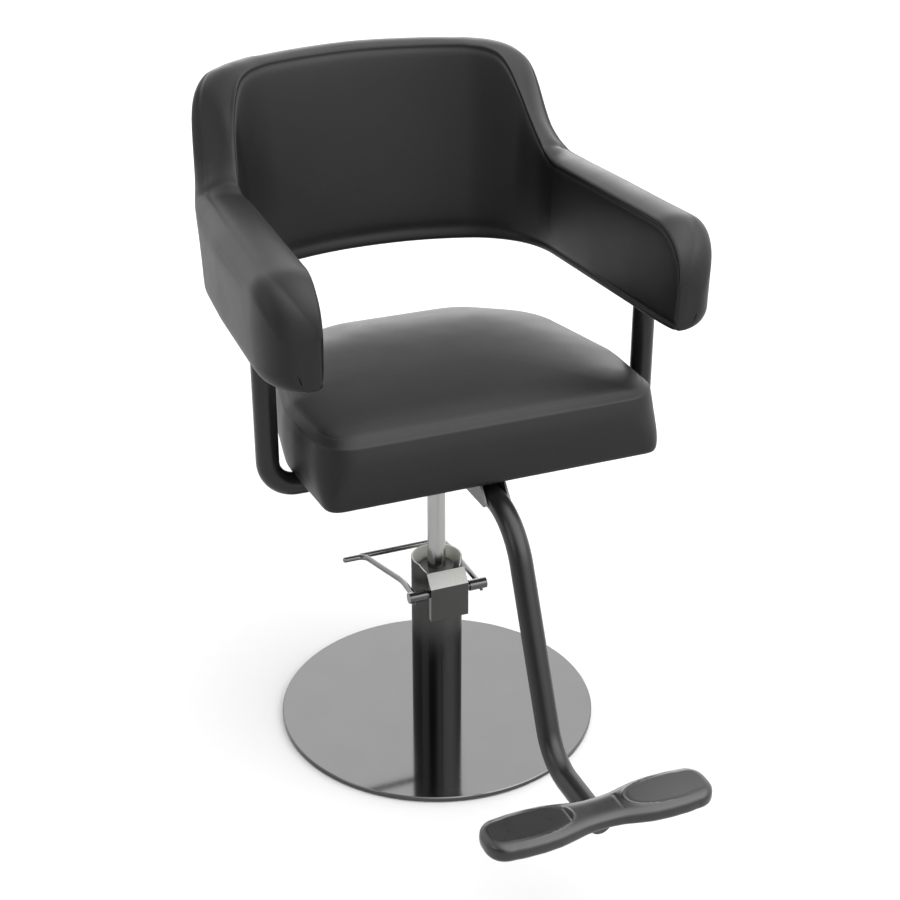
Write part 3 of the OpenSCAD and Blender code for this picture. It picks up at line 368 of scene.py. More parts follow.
@dataclass(frozen=True)
class ColumnPlating:
    """Dark plated sleeve: bright polish below, satin under the bracket with a paler colour there that is
    painted reflection, bare inside.
    """

    name: str
    polished: Colour
    satin: Colour
    bare: Colour
    satin_from: float
    satin_to: float
    inner_radius: float
    blur: float = 0.0004
    tint: float = 0.6

    def make(self) -> bpy.types.Material:
        """Returns the material."""
        shader = Shader(self.name)
        x, y, z = shader.axes(shader.place())
        radius = (x * x + y * y) ** 0.5
        outside = shader.band(radius, self.inner_radius - self.blur, self.inner_radius + self.blur)
        # From satin_from up to satin_to the sleeve turns satin, which is real, and paler, which is
        # painted reflection.
        satin_and_painted_reflection = shader.band(z + shader.noise(22.0) * 0.006, self.satin_from, self.satin_to)
        smudges = shader.noise(30.0, 4.0)
        plated = shader.mix(satin_and_painted_reflection, self.polished, self.satin)
        return shader.finish({
            "Specular Tint": (self.tint, self.tint, self.tint, 1),
            "Base Color": shader.mix(outside, self.bare, plated),
            "Roughness": 0.45 - outside * 0.26 + satin_and_painted_reflection * outside * 0.27 + smudges * 0.03,
            "Metallic": outside,
            "Normal": shader.bump(shader.noise(700.0, 2.0), 0.000006),
        })


@dataclass(frozen=True)
class PowderCoat:
    """Baked powder paint: even, with the faint orange peel of the sprayed film."""

    name: str
    colour: Colour
    roughness: float = 0.38
    peel: float = 420.0
    peel_depth: float = 0.00006
    coat: float = 0.0
    shine: float = 0.5

    def make(self) -> bpy.types.Material:
        """Returns the material."""
        shader = Shader(self.name)
        tone = shader.noise(24.0, 3.0)
        return shader.finish({
            "Coat Weight": self.coat,
            "Coat Roughness": 0.15,
            "Specular IOR Level": self.shine,
            "Base Color": shader.mix(tone, scaled(self.colour, 0.86), scaled(self.colour, 1.14)),
            "Roughness": tone * 0.08 + (self.roughness - 0.04),
            "Normal": shader.bump(shader.noise(self.peel, 2.0, 0.4), self.peel_depth),
        })


@dataclass(frozen=True)
class Moulded:
    """Moulded rubber or plastic with a fine matt texture and rubbed patches."""

    name: str
    colour: Colour
    roughness: float = 0.55
    texture: float = 1100.0
    texture_depth: float = 0.00007
    shine: float = 0.5

    def make(self) -> bpy.types.Material:
        """Returns the material."""
        shader = Shader(self.name)
        texture = shader.noise(self.texture, 3.0, 0.6)
        rubbed = shader.noise(20.0, 4.0, 0.6)
        return shader.finish({
            "Specular IOR Level": self.shine,
            "Base Color": shader.mix(rubbed, scaled(self.colour, 0.85), scaled(self.colour, 1.2)),
            "Roughness": rubbed * 0.12 + texture * 0.04 + (self.roughness - 0.05),
            "Normal": shader.bump(texture, self.texture_depth),
        })


@dataclass(frozen=True)
class Plywood:
    """Birch plywood with long grain on its faces and plies on its edges."""

    name: str
    pale: Colour
    dark: Colour
    ply: float = 0.0015

    def make(self) -> bpy.types.Material:
        """Returns the material."""
        shader = Shader(self.name)
        long = shader.node("Mapping", {}, {"Vector": shader.place(), "Scale": (8.0, 90.0, 90.0)})
        values = {"Vector": long.outputs[0], "Scale": 3.0, "Detail": 4.0}
        grain = shader.value("TexNoise", {}, values, "Fac")
        layers = shader.sine(shader.axes(shader.place())[2] * (math.pi / self.ply))
        facing = shader.axes(shader.node("NewGeometry").outputs["Normal"])[2]
        side = 1 - shader.band(facing**2.0, 0.2, 0.6)
        mask = grain * 0.7 + shader.band(layers, -0.2, 0.2) * side * 0.5
        return shader.finish({
            "Base Color": shader.mix(mask, self.pale, self.dark),
            "Roughness": grain * 0.15 + 0.5,
            "Normal": shader.bump(grain, 0.00015),
        })


@dataclass(frozen=True)
class SpunCloth:
    """Thin black non-woven cloth with its pressed dots."""

    name: str
    colour: Colour
    dots: float = 520.0

    def make(self) -> bpy.types.Material:
        """Returns the material."""
        shader = Shader(self.name)
        values = {"Vector": shader.place(), "Scale": self.dots}
        dots = shader.value("TexVoronoi", {}, values, "Distance")
        fibres = shader.noise(1500.0, 3.0, 0.7)
        mask = dots * 0.6 + fibres * 0.4
        return shader.finish({
            "Sheen Weight": 0.15,
            "Base Color": shader.mix(mask, scaled(self.colour, 0.7), scaled(self.colour, 1.5)),
            "Roughness": fibres * 0.15 + 0.8,
            "Normal": shader.bump(mask, 0.0002),
        })


@dataclass(frozen=True)
class StudioFloor:
    """Plain pale floor."""

    name: str
    colour: Colour

    def make(self) -> bpy.types.Material:
        """Returns the material."""
        shader = Shader(self.name)
        tone = shader.noise(3.0, 2.0)
        return shader.finish({
            "Specular IOR Level": 0.2,
            "Base Color": shader.mix(tone, scaled(self.colour, 0.995), self.colour),
            "Roughness": tone * 0.1 + 0.6,
        })


class FinishName(Enum):
    """Finishes of the chair, each with its recipe."""

    VINYL = Vinyl("black_vinyl", (0.0046, 0.0049, 0.0046))
    THREAD = Moulded("seam_thread", (0.014, 0.014, 0.014), 0.6, 2600.0, 0.00003)
    DISC = DiscPlating("mirror_plate", (0.160, 0.162, 0.160), (0.085, 0.085, 0.085), 0.08, 0.2486)
    COLUMN = ColumnPlating(
        "column_plating", (0.042, 0.042, 0.042), (0.064, 0.065, 0.063), (0.50, 0.51, 0.46),
        0.150, 0.196, 0.0386,
    )
    ROD = Plating("satin_rod", (0.31, 0.31, 0.306), 0.24, 0.00001, 0.06)
    BARE = Plating("bare_steel", (0.42, 0.41, 0.40), 0.38, 0.00002, 0.1)
    ZINC = Plating("zinc_steel", (0.58, 0.59, 0.58), 0.3, 0.00001, 0.1)
    CAST = PowderCoat("cast_iron_paint", (0.05, 0.052, 0.053), 0.55, 260.0, 0.0002)
    OILED = PowderCoat("oiled_iron", (0.012, 0.012, 0.012), 0.45, 260.0, 0.0001)
    BRONZE = Plating("sintered_bronze", (0.50, 0.33, 0.16), 0.42, 0.00003, 0.1)
    SEAL = Moulded("seal_rubber", (0.018, 0.018, 0.018), 0.5)
    FRAME = PowderCoat("frame_powder_coat", (0.006, 0.006, 0.0064), 0.30, 420.0, 0.00003, 0.0, 0.27)
    # The paler top colour is a painted highlight.
    COVER = FoldedSheet("cover_plate", (0.118, 0.118, 0.113), (0.058, 0.058, 0.057), 0.2550)
    CHEEK = PowderCoat("cheek_paint", (0.012, 0.012, 0.012), 0.35)
    CLAMP = PowderCoat("bracket_paint", (0.075, 0.076, 0.074), 0.42)
    LEVER = Plating("lever_plate", (0.15, 0.152, 0.155), 0.26, 0.00001, 0.08)
    COLLAR = PowderCoat("collar_paint", (0.012, 0.012, 0.012), 0.22, 500.0, 0.00003, 0.4)
    NYLON = Moulded("ivory_nylon", (0.62, 0.58, 0.48), 0.4)
    PLUG = Moulded("plug_plastic", (0.016, 0.016, 0.016), 0.42)
    PLYWOOD = Plywood("birch_plywood", (0.62, 0.46, 0.29), (0.40, 0.26, 0.14))
    DUST = SpunCloth("spun_dust_cloth", (0.018, 0.018, 0.018))
    RUBBER = Moulded("moulded_pad_rubber", (0.008, 0.0084, 0.008), 0.26, 1400.0, 0.000004, 0.4)
    PAD = Moulded("floor_pad_rubber", (0.03, 0.03, 0.03), 0.7)
    FLOOR = StudioFloor("studio_floor", (0.43, 0.43, 0.43))

    def material(self) -> bpy.types.Material:
        """Returns the finish's material, made once."""
        found = bpy.data.materials.get(self.value.name)
        return found if found else self.value.make()


def pick(piece: bpy.types.Object) -> None:
    """Makes a piece the only selected and active one."""
    bpy.ops.object.select_all(action="DESELECT")
    piece.select_set(True)
    bpy.context.view_layer.objects.active = piece


def dress(piece: bpy.types.Object, finish: FinishName) -> None:
    """Gives a piece one finish all over."""
    piece.data.materials.clear()
    piece.data.materials.append(finish.material())


def dress_node(nodes: dict[str, bpy.types.Object], name: str, finish: FinishName) -> None:
    """Gives a carried-over solid a finish through its material slots."""
    piece = nodes[name]
    if not piece.material_slots:
        piece.data.materials.append(finish.material())
    for slot in piece.material_slots:
        slot.material = finish.material()


def mesh_piece(
    name: str, points: np.ndarray, faces: Sequence[Sequence[int]]
) -> bpy.types.Object:
    """Makes a smooth piece from points in millimetres and faces.

    Args:
        name: Name of the piece.
        points: Points, three numbers each.
        faces: Corner numbers of each face.

    Returns:
        The piece, at the origin.
    """
    mesh = bpy.data.meshes.new(name)
    mesh.from_pydata((np.asarray(points) * MM).tolist(), [], [list(f) for f in faces])
    mesh.update()
    piece = bpy.data.objects.new(name, mesh)
    bpy.context.scene.collection.objects.link(piece)
    bm = bmesh.new()
    bm.from_mesh(mesh)
    bmesh.ops.recalc_face_normals(bm, faces=bm.faces)
    bm.to_mesh(mesh)
    bm.free()
    mesh.polygons.foreach_set("use_smooth", [True] * len(mesh.polygons))
    return piece


def ring_faces(first: int, last: int, n: int) -> list[tuple[int, ...]]:
    """Returns the faces between closed rings of n points, from the first ring to the last."""
    return [
        (r * n + k, r * n + (k + 1) % n, (r + 1) * n + (k + 1) % n, (r + 1) * n + k)
        for r in range(first, last) for k in range(n)
    ]


def set_attribute(piece: bpy.types.Object, name: str, values: np.ndarray) -> None:
    """Stores one number per point, in metres, for a finish to read."""
    attribute = piece.data.attributes.new(name, "FLOAT", "POINT")
    attribute.data.foreach_set("value", np.asarray(values, dtype=np.float32) * MM)


def apply_modifier(piece: bpy.types.Object, kind: str, settings: dict[str, object]) -> None:
    """Adds a modifier with its settings and applies it."""
    pick(piece)
    modifier = piece.modifiers.new(kind.lower(), kind)
    for key, setting in settings.items():
        setattr(modifier, key, setting)
    bpy.ops.object.modifier_apply(modifier=modifier.name)


def inflate(
    piece: bpy.types.Object, held: Sequence[int], pressure: float, cap: float, slack: float
) -> None:
    """Blows a cover up from inside as cloth that its seams hold, and keeps the shape.

    Args:
        piece: The cover, closed.
        held: Points that the seams or the frame hold.
        pressure: Pressure inside.
        cap: Farthest that a point may move, in metres.
        slack: Share by which the cloth is cut larger than its form.
    """
    group = piece.vertex_groups.new(name="held")
    group.add(list(held), 1.0, "REPLACE")
    mesh = piece.data
    start = read_points(mesh)
    modifier = piece.modifiers.new("cloth", "CLOTH")
    cloth = modifier.settings
    cloth.quality = 6
    cloth.mass = 0.3
    cloth.tension_stiffness = cloth.compression_stiffness = 22
    cloth.shear_stiffness = 12
    cloth.bending_stiffness = 1.5
    cloth.use_pressure = True
    cloth.uniform_pressure_force = pressure
    cloth.shrink_min = -slack
    cloth.vertex_group_mass = group.name
    cloth.effector_weights.gravity = 0
    modifier.collision_settings.use_collision = False
    scene = bpy.context.scene
    for frame in range(1, CLOTH_FRAMES + 1):
        scene.frame_set(frame)
    blown = piece.evaluated_get(bpy.context.evaluated_depsgraph_get()).to_mesh()
    move = read_points(blown) - start
    piece.modifiers.remove(modifier)
    piece.vertex_groups.remove(group)
    scene.frame_set(1)
    move = calmed(mesh, move, held, CALM_ROUNDS)
    length = np.linalg.norm(move, axis=1, keepdims=True)
    soft = cap * np.tanh(length / cap)
    move_points(mesh, start + move / np.maximum(length, 1e-9) * soft)


def calmed(
    mesh: bpy.types.Mesh, move: np.ndarray, held: Sequence[int], rounds: int
) -> np.ndarray:
    """Evens out how far neighbouring points move, as taut cover does, and keeps the held ones.

    Args:
        mesh: The cover's mesh.
        move: Movement of each point.
        held: Points that don't move.
        rounds: How often each point takes its neighbours' mean.

    Returns:
        The evened movement.
    """
    edges = np.empty(len(mesh.edges) * 2, dtype=np.int64)
    mesh.edges.foreach_get("vertices", edges)
    edges = edges.reshape(-1, 2)
    fixed = np.zeros(len(move), dtype=bool)
    fixed[list(held)] = True
    count = np.bincount(edges.ravel(), minlength=len(move)).astype(float)
    for _ in range(rounds):
        total = np.zeros_like(move)
        np.add.at(total, edges[:, 0], move[edges[:, 1]])
        np.add.at(total, edges[:, 1], move[edges[:, 0]])
        mean = total / np.maximum(count, 1)[:, None]
        move = np.where(fixed[:, None], move, mean)
    return move


def read_points(mesh: bpy.types.Mesh, what: str = "co") -> np.ndarray:
    """Returns the places or the normals of a mesh's points, in metres."""
    out = np.empty(len(mesh.vertices) * 3)
    mesh.vertices.foreach_get(what, out)
    return out.reshape(-1, 3)


def normals_of(piece: bpy.types.Object) -> np.ndarray:
    """Returns the point normals of a piece."""
    return read_points(piece.data, "normal")


def places_of(piece: bpy.types.Object) -> np.ndarray:
    """Returns the points of a piece in millimetres."""
    return read_points(piece.data) / MM


def move_points(mesh: bpy.types.Mesh, points: np.ndarray) -> None:
    """Moves the points of a mesh to places in metres."""
    mesh.vertices.foreach_set("co", points.ravel())
    mesh.update()


def unit(vector: np.ndarray) -> np.ndarray:
    """Returns a vector at length 1."""
    return vector / max(np.linalg.norm(vector), 1e-6)


def eased(rows: int) -> list[float]:
    """Returns shares from 0 to 1 that stand closer together near both ends."""
    ease = [0.5 - 0.5 * math.cos(math.pi * k / rows) for k in range(rows + 1)]
    return [0.55 * e + 0.45 * k / rows for k, e in enumerate(ease)]


def smooth_lookup(table: Table, width: float) -> Callable[[float], float]:
    """Returns a smooth function through a table's points.

    Args:
        table: Pairs of place and value.
        width: Width over which corners are rounded.
    """
    xs, ys = zip(*table)
    span = max(xs) - min(xs)
    grid = np.linspace(min(xs) - span, max(xs) + span, 1801)
    raw = np.interp(grid, xs, ys)
    raw = np.where(grid < min(xs), np.interp(2 * min(xs) - grid, xs, ys), raw)
    step = grid[1] - grid[0]
    reach = max(1, int(width / step))
    kernel = np.hanning(reach * 2 + 3)
    smooth = np.convolve(np.pad(raw, reach + 1, mode="edge"), kernel / kernel.sum(), "valid")
    return lambda x: float(np.interp(x, grid, smooth))


def along(points: np.ndarray, pitch: float, closed: bool) -> tuple[np.ndarray, np.ndarray]:
    """Walks a line and returns evenly spaced positions as point number and share.

    Args:
        points: The line's points in millimetres.
        pitch: Distance between positions.
        closed: Whether the line returns to its start.

    Returns:
        The number of the point before each position, and the share on to the next.
    """
    line = np.vstack([points, points[:1]]) if closed else points
    steps = np.linalg.norm(np.diff(line, axis=0), axis=1)
    total = np.concatenate([[0], np.cumsum(steps)])
    marks = np.arange(pitch / 2, total[-1] - pitch / 4, pitch)
    before = np.clip(np.searchsorted(total, marks, side="right") - 1, 0, len(steps) - 1)
    return before, (marks - total[before]) / np.maximum(steps[before], 1e-6)


@dataclass
class Stitcher:
    """Lays a row of thread stitches along a line on a cover."""

    pitch: float = 4.6
    length: float = 3.4
    thickness: float = 0.62

    def pattern(self) -> tuple[np.ndarray, list[list[int]]]:
        """Models one stitch and returns its points and faces.

        Returns:
            Points in millimetres along x, with z up, and faces.
        """
        bpy.ops.object.select_all(action="DESELECT")
        bpy.ops.mesh.primitive_cylinder_add(
            vertices=6, radius=self.thickness / 2 * MM, depth=self.length * 0.6 * MM,
            rotation=(0, math.pi / 2, 0),
        )
        stitch = bpy.context.object
        bpy.ops.object.transform_apply(location=True, rotation=True, scale=True)
        bpy.ops.object.mode_set(mode="EDIT")
        bpy.ops.mesh.select_mode(type="FACE")
        for end in (-1, 1):
            bpy.ops.mesh.select_all(action="DESELECT")
            bm = bmesh.from_edit_mesh(stitch.data)
            for face in bm.faces:
                face.select = face.normal.x * end > 0.9
            bmesh.update_edit_mesh(stitch.data)
            bpy.ops.mesh.extrude_region_move(
                TRANSFORM_OT_translate={
                    "value": (end * self.length * 0.2 * MM, 0, -self.thickness * 0.45 * MM)
                }
            )
            bpy.ops.transform.resize(value=(1, 0.5, 0.5))
        bpy.ops.object.mode_set(mode="OBJECT")
        points = places_of(stitch)
        faces = [list(p.vertices) for p in stitch.data.polygons]
        bpy.data.objects.remove(stitch)
        return points, faces

    def sew(
        self, name: str, lines: Sequence[tuple[np.ndarray, np.ndarray, bool]]
    ) -> bpy.types.Object:
        """Copies the stitch along lines and returns them as one piece.

        Args:
            name: Name of the piece.
            lines: Points in millimetres, outward normals and whether the line is closed.
        """
        shape, shape_faces = self.pattern()
        points, faces = [], []
        for line, normals, closed in lines:
            before, share = along(line, self.pitch, closed)
            for i, s in zip(before, share):
                j = (i + 1) % len(line)
                middle = line[i] * (1 - s) + line[j] * s
                ahead = unit(line[j] - line[i])
                up = normals[i] * (1 - s) + normals[j] * s
                up = unit(up - ahead * up.dot(ahead))
                side = np.cross(up, ahead)
                start = len(points) * len(shape)
                points.append(
                    middle
                    + shape[:, :1] * ahead
                    + shape[:, 1:2] * side
                    + (shape[:, 2:] + self.thickness * 0.12) * up
                )
                faces += [[start + v for v in f] for f in shape_faces]
        piece = mesh_piece(name, np.vstack(points), faces)
        dress(piece, FinishName.THREAD)
        return piece


@dataclass
class Cut:
    """One cut through the wrap."""

    x: float
    y: float
    heading: float
    tip: float = 0.0
    swell: float = 0.0


@dataclass
class BackAndArms:
    """The padded wrap: a back that sweeps down into two arms, in one cover."""

    thickness: float = 66.0
    inner_width: float = 500.0
    back_y: float = 254.0
    front_y: float = 252.0
    back_r: float = 425.0
    corner_r: float = 139.0
    toe: float = 2.4
    bottom: float = 707.5
    arm_h: float = 144.5
    back_rise: float = 155.0
    top_fall: float = 3.0
    top_crown: float = 4.0
    crown_width: float = 36.0
    arm_swell: float = 10.0
    lean: float = 7.8
    edge_r: float = 6.0
    outer_edge_r: float = 22.0
    tip_edge_r: float = 32.0
    tip_r: float = 70.0
    tip_slope: float = 6.0
    tip_draw: float = 0.95
    foot_r: float = 22.0
    back_sag: float = 2.5
    seam_depth: float = 2.2
    inner_rise: Table = field(
        default_factory=lambda: (
            (0, 1), (19, 0.987), (30, 0.961), (36, 0.923), (40, 0.858), (44, 0.748),
            (48, 0.606), (55, 0.387), (63, 0.194), (71, 0.052), (78, 0.006), (84, 0),
        )
    )
    outer_rise: Table = field(
        default_factory=lambda: (
            (0, 1), (20, 0.981), (30, 0.968), (37, 0.942), (41, 0.903), (45, 0.839),
            (48, 0.742), (51, 0.575), (54, 0.405), (58, 0.235), (64, 0.105), (70, 0.03),
            (76, 0.006), (84, 0),
        )
    )
    lean_shares: Table = field(default_factory=lambda: ((0, 1), (50, 1), (70, 0.6), (88, 0)))
    swell_shares: Table = field(default_factory=lambda: ((62, 0), (80, 0.35), (88, 0.7)))
    joint_heading: float = 70.5
    hold: float = 0.6
    stitch_in: float = 5.5
    side_rows: int = 24
    top_rows: int = 12

    def __post_init__(self) -> None:
        """Works out the plan of the middle surface and the smooth profiles."""
        half = self.thickness / 2
        self.back_mid = self.back_r + half
        self.corner_mid = self.corner_r + half
        self.back_centre = self.back_y - self.back_r
        gap = self.back_r - self.corner_r
        t = math.tan(math.radians(self.toe))
        toe_cos = math.cos(math.radians(self.toe))
        line = self.inner_width / 2 - self.front_y * t - self.corner_r / toe_cos
        a, b = 1 + t * t, -line * t - self.back_centre
        c = line * line + self.back_centre**2 - gap * gap
        self.corner_y = (-b + math.sqrt(b * b - a * c)) / a
        self.corner_x = line - self.corner_y * t
        self.back_turn = math.degrees(math.asin(self.corner_x / gap))
        self.arm_turn = 90 - self.toe
        turn = math.radians(self.arm_turn)
        self.root_x = self.corner_x + self.corner_mid * math.sin(turn)
        self.root_y = self.corner_y + self.corner_mid * math.cos(turn)
        self.run = (self.front_y + self.root_y) / toe_cos
        self.rise_in = smooth_lookup(self.inner_rise, 2.4)
        self.rise_out = smooth_lookup(self.outer_rise, 2.4)
        self.lean_at = smooth_lookup(self.lean_shares, 6)
        self.swell_at = smooth_lookup(self.swell_shares, 4)

    def cuts(self) -> list[Cut]:
        """Returns the cuts from the left arm's tip round to the right arm's tip."""
        half: list[Cut] = []
        for a in np.linspace(0, self.back_turn, 24, endpoint=False):
            r = math.radians(a)
            half.append(
                Cut(self.back_mid * math.sin(r), self.back_centre + self.back_mid * math.cos(r), a)
            )
        for a in np.linspace(self.back_turn, self.arm_turn, 38, endpoint=False):
            r = math.radians(a)
            half.append(
                Cut(
                    self.corner_x + self.corner_mid * math.sin(r),
                    self.corner_y + self.corner_mid * math.cos(r),
                    a, 0.0, self.swell_at(a),
                )
            )
        straight = self.run - self.tip_r
        turn = math.radians(self.toe)
        runs = [(s, 0.0) for s in np.linspace(0, straight, 30, endpoint=False)]
        runs += [
            (straight + self.tip_r * math.sin(math.radians(t)), t)
            for t in (0, 7, 14, 21, 28, 35, 42, 49, 56, 62, 68, 74, 80, 85, 90)
        ]
        for s, tip in runs:
            near = self.swell_at(self.arm_turn)
            swell = near + (1 - near) * min(1.0, s / (straight * 0.35))
            half.append(
                Cut(
                    self.root_x + s * math.sin(turn), self.root_y - s * math.cos(turn),
                    self.arm_turn, tip, swell,
                )
            )
        left = [Cut(-c.x, c.y, -c.heading, c.tip, c.swell) for c in half[:0:-1]]
        return left + half

    def section(self, cut: Cut) -> np.ndarray:
        """Returns a cut's section as points outwards and upwards, from the inner foot round.

        Args:
            cut: The cut.
        """
        around = 1 - math.cos(math.radians(cut.tip))
        turn = abs(cut.heading)
        fall = self.tip_r * around
        base = self.bottom + self.arm_h - fall
        top_in = base + self.back_rise * self.rise_in(turn)
        top_out = base - self.top_fall + self.back_rise * self.rise_out(turn)
        half = self.thickness / 2
        foot = self.bottom + self.edge_r * around / 2
        foot -= self.back_sag * max(0.0, 1 - turn / 60)
        outer = (
            half
            + self.arm_swell * cut.swell * math.cos(math.radians(cut.tip))
            - self.tip_edge_r * self.tip_draw * around
        )
        inner = -half + self.tip_edge_r * 0.08 * around
        ro = self.outer_edge_r + (self.tip_edge_r - self.outer_edge_r) * math.sin(
            math.radians(cut.tip)
        )
        ri = self.edge_r
        ro = min(ro, outer - inner - ri * 1.5)
        rf = ri + (self.foot_r - ri) * min(1.0, max(0.0, (turn - 30) / 30))

        def arc(u: float, z: float, r: float, start: float, steps: int) -> list[tuple[float, float]]:
            """Returns a quarter round that turns clockwise from its start angle."""
            return [
                (
                    u + r * math.cos(math.radians(start - 90 * k / steps)),
                    z + r * math.sin(math.radians(start - 90 * k / steps)),
                )
                for k in range(steps + 1)
            ]

        points = arc(inner + ri, foot + ri, ri, 270, 4)
        low, high = foot + ri, top_in - ri
        points += [(inner, low + (high - low) * s) for s in eased(self.side_rows)[1:-1]]
        u0, u1 = inner + ri, outer - ro
        points += arc(u0, top_in - ri, ri, 180, 4)
        for k in range(1, self.top_rows):
            s = k / self.top_rows
            crown = self.top_crown * min(1.0, (u1 - u0) / self.crown_width) ** 2 * 4 * s * (1 - s)
            points.append((u0 + (u1 - u0) * s, top_in + (top_out - top_in) * s + crown))
        points += arc(u1, top_out - ro, ro, 90, 8)
        low, high = foot + rf, top_out - ro
        points += [(outer, high + (low - high) * s) for s in eased(self.side_rows - 2)[1:-1]]
        points += arc(outer - rf, foot + rf, rf, 0, 4)
        u0, u1 = outer - rf, inner + ri
        for k in range(1, self.top_rows + 2):
            s = k / (self.top_rows + 2)
            points.append((u0 + (u1 - u0) * s, foot))
        return np.array(points)

    def place(self, cut: Cut, section: np.ndarray) -> np.ndarray:
        """Places a section in space at its cut."""
        h = math.radians(cut.heading)
        out = np.array([math.sin(h), math.cos(h)])
        ahead = np.array([-math.cos(h), math.sin(h)]) * (-1 if cut.heading < 0 else 1)
        lean = (
            math.tan(math.radians(self.lean))
            * self.lean_at(abs(cut.heading))
            * (section[:, 1] - self.bottom)
        )
        slope = (
            self.tip_slope
            * math.sin(math.radians(cut.tip))
            * (1 - (section[:, 1] - self.bottom) / self.arm_h)
        )
        flat = (
            np.array([cut.x, cut.y])
            + out * (section[:, :1] + lean[:, None])
            + ahead * slope[:, None]
        )
        return np.column_stack([flat, section[:, 1]])

    def build(self) -> tuple[bpy.types.Object, bpy.types.Object]:
        """Builds the cover and its stitches.

        Returns:
            The cover and the stitches.
        """
        cuts = self.cuts()
        rings = np.array([self.place(c, self.section(c)) for c in cuts])
        count, width = rings.shape[:2]
        in_low, in_top = 2, 2 + self.side_rows + 2
        out_top = in_top + 2 + self.top_rows + 4
        points = [*rings.reshape(-1, 3)]
        faces = ring_faces(0, count - 1, width)
        tall, wide = in_top - in_low, out_top - in_top
        for ring, flip in ((0, False), (count - 1, True)):
            faces += self._cap(points, rings[ring], ring * width, (in_low, tall, wide), flip)
        points = np.array(points)
        gaps, runs = self._seam_fields(rings, (in_low + 4, in_top, out_top), cuts)
        caps = points[count * width :]
        edges = np.vstack([rings[0, : in_top + 1], rings[-1, : in_top + 1]])
        apart = np.linalg.norm(caps[:, None] - edges[None], axis=2).min(axis=1)
        gaps = np.concatenate([gaps.ravel(), apart])
        runs = np.concatenate([runs.ravel(), np.zeros(len(caps))])
        cover = mesh_piece("back_and_arms_cover", points, faces)
        held = np.nonzero((gaps < self.hold) | (points[:, 2] < self.bottom + self.hold))[0]
        inflate(cover, held.tolist(), 1.6, 0.0025, 0.001)
        self._press_seams(cover, gaps)
        set_attribute(cover, "seam_gap", gaps)
        set_attribute(cover, "seam_run", runs)
        lines = [self._stitch_line(cover, count, width, in_top)]
        apply_modifier(cover, "SUBSURF", {"levels": 1, "render_levels": 1})
        dress(cover, FinishName.VINYL)
        return cover, Stitcher().sew("back_and_arms_stitches", lines)

    def _cap(
        self,
        points: list[np.ndarray],
        ring: np.ndarray,
        start: int,
        corners: tuple[int, int, int],
        flip: bool,
    ) -> list[tuple[int, ...]]:
        """Closes an arm's front with a grid between its four edges.

        Args:
            points: All points so far, to which the grid's are added.
            ring: The last ring.
            start: Number of the ring's first point.
            corners: First corner's row, rows up the side and rows across the top.
            flip: Whether the faces turn the other way.
        """
        low, tall, wide = corners
        n = len(ring)
        grid = np.full((tall + 1, wide + 1), -1)
        for i in range(tall + 1):
            grid[i, 0] = start + (low + i) % n
            grid[i, wide] = start + (low + tall + wide + (tall - i)) % n
        for j in range(wide + 1):
            grid[tall, j] = start + (low + tall + j) % n
            grid[0, j] = start + (low - j) % n
        at = np.array(points)
        for i in range(1, tall):
            for j in range(1, wide):
                u, v = j / wide, i / tall
                side = at[grid[i, 0]] * (1 - u) + at[grid[i, wide]] * u
                rise = at[grid[0, j]] * (1 - v) + at[grid[tall, j]] * v
                mix = (
                    at[grid[0, 0]] * (1 - u) * (1 - v) + at[grid[0, wide]] * u * (1 - v)
                    + at[grid[tall, 0]] * (1 - u) * v + at[grid[tall, wide]] * u * v
                )
                grid[i, j] = len(points)
                points.append(side + rise - mix)
        faces = []
        for i in range(tall):
            for j in range(wide):
                face = (grid[i, j], grid[i, j + 1], grid[i + 1, j + 1], grid[i + 1, j])
                faces.append(tuple(int(v) for v in (face[::-1] if flip else face)))
        return faces

    def _seam_fields(
        self, rings: np.ndarray, rows: tuple[int, int, int], cuts: list[Cut]
    ) -> tuple[np.ndarray, np.ndarray]:
        """Returns the distance from each ring point to its nearest seam, and the way along it.

        Args:
            rings: Points of the rings.
            rows: Rows of the inner foot's seam and the two top seams.
            cuts: The cuts.
        """
        low_row, in_top, out_top = rows
        steps = np.linalg.norm(np.diff(rings, axis=1, append=rings[:, :1]), axis=2)
        around = np.concatenate([np.zeros((len(rings), 1)), np.cumsum(steps, axis=1)[:, :-1]], axis=1)
        gaps = np.full(rings.shape[:2], 90.0)
        on_arm = np.array([abs(c.heading) for c in cuts])
        over_tip = np.array([c.tip for c in cuts])
        fades = {
            low_row: 0 * on_arm,
            in_top: ((over_tip - 76) / 14).clip(0, 1) * 3,
            out_top: ((on_arm - 72) / 10).clip(0, 1) * 40,
        }
        for row, fade in fades.items():
            gaps = np.minimum(gaps, np.abs(around - around[:, row : row + 1]) + fade[:, None])
        walk = np.linalg.norm(np.diff(rings[:, in_top], axis=0, prepend=rings[:1, in_top]), axis=1)
        runs = np.repeat(np.cumsum(walk)[:, None], rings.shape[1], axis=1)
        headings = np.array([c.heading for c in cuts])
        joints = [int(np.argmin(np.abs(headings - a))) for a in (-self.joint_heading, self.joint_heading)]
        across = [(ring, range(in_top, out_top + 1)) for ring in joints]
        across += [(ring, range(in_top + 1)) for ring in (0, len(rings) - 1)]
        for ring, crossed in across:
            for row in crossed:
                apart = np.linalg.norm(rings[:, row] - rings[ring, row], axis=1)
                gaps[:, row] = np.minimum(gaps[:, row], apart)
        return gaps, runs

    def _press_seams(self, cover: bpy.types.Object, gaps: np.ndarray) -> None:
        """Pulls the cover in along its seams."""
        points, normals = places_of(cover), normals_of(cover)
        depth = self.seam_depth * np.exp(-((gaps / 2.4) ** 2))
        puff = 1.3 * (1 - np.exp(-gaps / 12)) - 0.3
        moved = points + normals * (puff - depth)[:, None]
        moved[:, 2] = np.maximum(moved[:, 2], self.bottom - self.back_sag - 1.2)
        move_points(cover.data, moved * MM)

